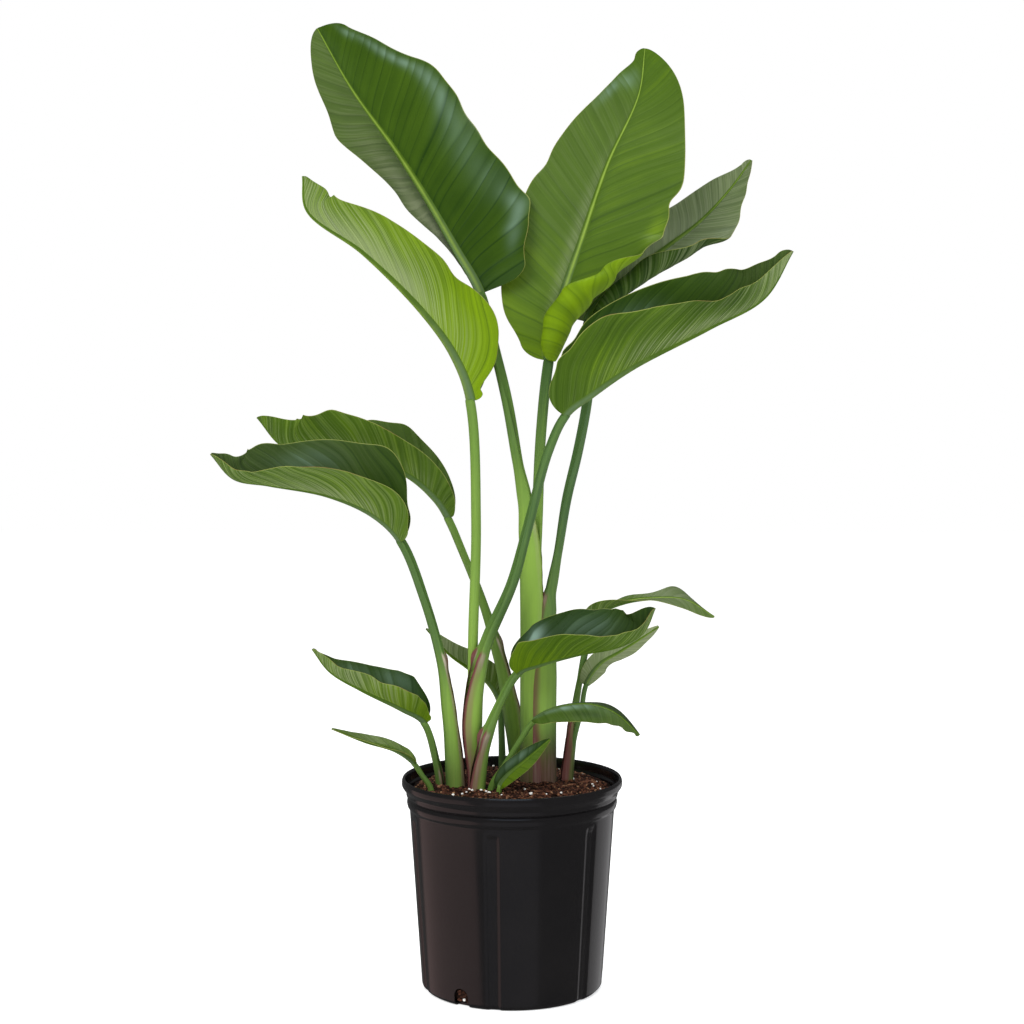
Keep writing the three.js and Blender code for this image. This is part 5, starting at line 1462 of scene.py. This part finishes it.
def soil_room(points, lines):
    """Where crumbs may lie: 1 on open soil and in the notches, 0 in a stalk and behind the wall."""
    x, y, z = points.T
    room = ((z > SOIL_SIDE[0] + 1) & (np.hypot(x, y) < SOIL_PROFILE[-1][0] - RIM_ROOM)).astype(float)
    for line in lines:
        low_part = slice(CURVE_STEPS * 2)
        foot = line.at(np.interp(SOIL_TOP, line.points[low_part, 2], line.distance[low_part]))
        inside = np.hypot(x - foot[0], y - foot[1]) < line.leaf["stalk"][0][3] + SOIL_ROOM
        room[inside & (z > SOIL_SIDE[0])] = 0
    around = np.arctan2(x, -y)
    for angle in NOTCH_ANGLES:
        off = np.abs((around - math.radians(angle) + np.pi) % (2 * np.pi) - np.pi)
        room[(off < NOTCH_ROOM) & (z < NOTCH_ROOM_TOP) & (z > POT_FLOOR + 3)] = 1
    return room


def strew(name, ground, tree, values, material):
    """One kind of crumb over the ground, as a mesh of its own."""
    made = bpy.data.objects.new(name, ground.copy())
    bpy.context.collection.objects.link(made)
    grow(made, tree, {**values, "Material": material})
    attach(made, "root")
    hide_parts("soil")


def lumps(name, places, material, shade):
    """Rough lumps at given places: each a place, three half sizes and a turn in degrees."""
    shape = bmesh.new()
    for x, y, z, *half, turn in places:
        place = Matrix.Translation((x * MM, y * MM, z * MM))
        turned = place @ Matrix.Rotation(math.radians(turn), 4, "Z")
        sized = Matrix.Diagonal((*(h * MM for h in half), 1))
        made = bmesh.ops.create_icosphere(shape, subdivisions=2, radius=1)["verts"]
        for corner in made:
            corner.co *= 1 + 0.16 * math.sin(7 * corner.co.x + 5 * corner.co.y + 9 * corner.co.z + x)
            corner.co = turned @ sized @ corner.co
    mesh = bpy.data.meshes.new(name)
    shape.to_mesh(mesh)
    shape.free()
    made = bpy.data.objects.new(name, mesh)
    bpy.context.collection.objects.link(made)
    face_out(made)
    paint_values(made, {"shade": np.full(len(mesh.vertices), shade)})
    mesh.materials.append(material)
    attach(made, "root")
    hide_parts("soil")


def build_soil(lines):
    material = soil_material()
    angles = np.linspace(0, 2 * np.pi, SOIL_TURNS, endpoint=False)
    sines, cosines = np.sin(angles), np.cos(angles)
    points = [(0, 0, float(soil_height(0, 0)))]
    for i in range(1, SOIL_RINGS + 1):
        radius = SOIL_PROFILE[-1][0] * i / SOIL_RINGS
        x, y = radius * sines, -radius * cosines
        rough = sum(h * (value_noise(x / w, y / w, seed) - 0.5) for h, w, seed in SOIL_CLODS)
        points += zip(x, y, soil_height(x, y) + rough)
    for z in SOIL_SIDE:
        clods = 2.4 * (value_noise(angles * 22, np.full_like(angles, z / 4), 3) - 0.6)
        reach = wall_radius(z) - WALL - CHANNEL_DEPTH - 0.9 + clods
        points += zip(reach * sines, -reach * cosines, np.full_like(angles, z))
    points.append((0, 0, SOIL_SIDE[-1]))
    faces = []
    rings = SOIL_RINGS + len(SOIL_SIDE)
    for j in range(SOIL_TURNS):
        after = (j + 1) % SOIL_TURNS
        faces.append((0, 1 + j, 1 + after))
        for i in range(rings - 1):
            row, lower = 1 + i * SOIL_TURNS, 1 + (i + 1) * SOIL_TURNS
            faces.append((row + j, lower + j, lower + after, row + after))
        last = 1 + (rings - 1) * SOIL_TURNS
        faces.append((last + j, len(points) - 1, last + after))
    soil = mesh_object("soil_body", points, faces)
    face_out(soil)
    soil.data.shade_smooth()
    paint_values(soil, {"room": soil_room(np.array(points, float), lines)})
    ground = soil.data.copy()
    soil.data.attributes.remove(soil.data.attributes["room"])
    soil.data.materials.append(material)
    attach(soil, "root")
    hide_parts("soil")

    tree = crumb_tree()
    strew("soil_crumbs", ground, tree, CRUMBS, material)
    strew("soil_shreds", ground, tree, SHREDS, material)
    chance = np.random.default_rng(5)
    beads = [(x, y, soil_height(x, y) + BEAD_RISE, r * 1.3, r * 1.1, r, 30 * x) for x, y, r in BEADS]
    for _ in range(HIDDEN_BEADS):
        turn = chance.uniform(-1.6, 1.6)
        out = HIDDEN_REACH * math.sqrt(chance.uniform(0.25, 1))
        x, y, r = out * math.sin(turn), out * math.cos(turn), chance.uniform(0.8, 1.7)
        beads.append((x, y, soil_height(x, y) + HIDDEN_RISE, r, r * 0.85, r * 0.8, 30 * x))
    x, y, z, r = NOTCH_BEAD
    beads.append((x, y, z, r, r, r, 0))
    lumps("perlite", beads, perlite_material(), 0)
    chips = [(x, y, soil_height(x, y) + CHIP_RISE, a, b, c, turn) for x, y, a, b, c, turn in CHIPS]
    lumps("bark_chips", chips, material, 0.85)


build_soil(lines)
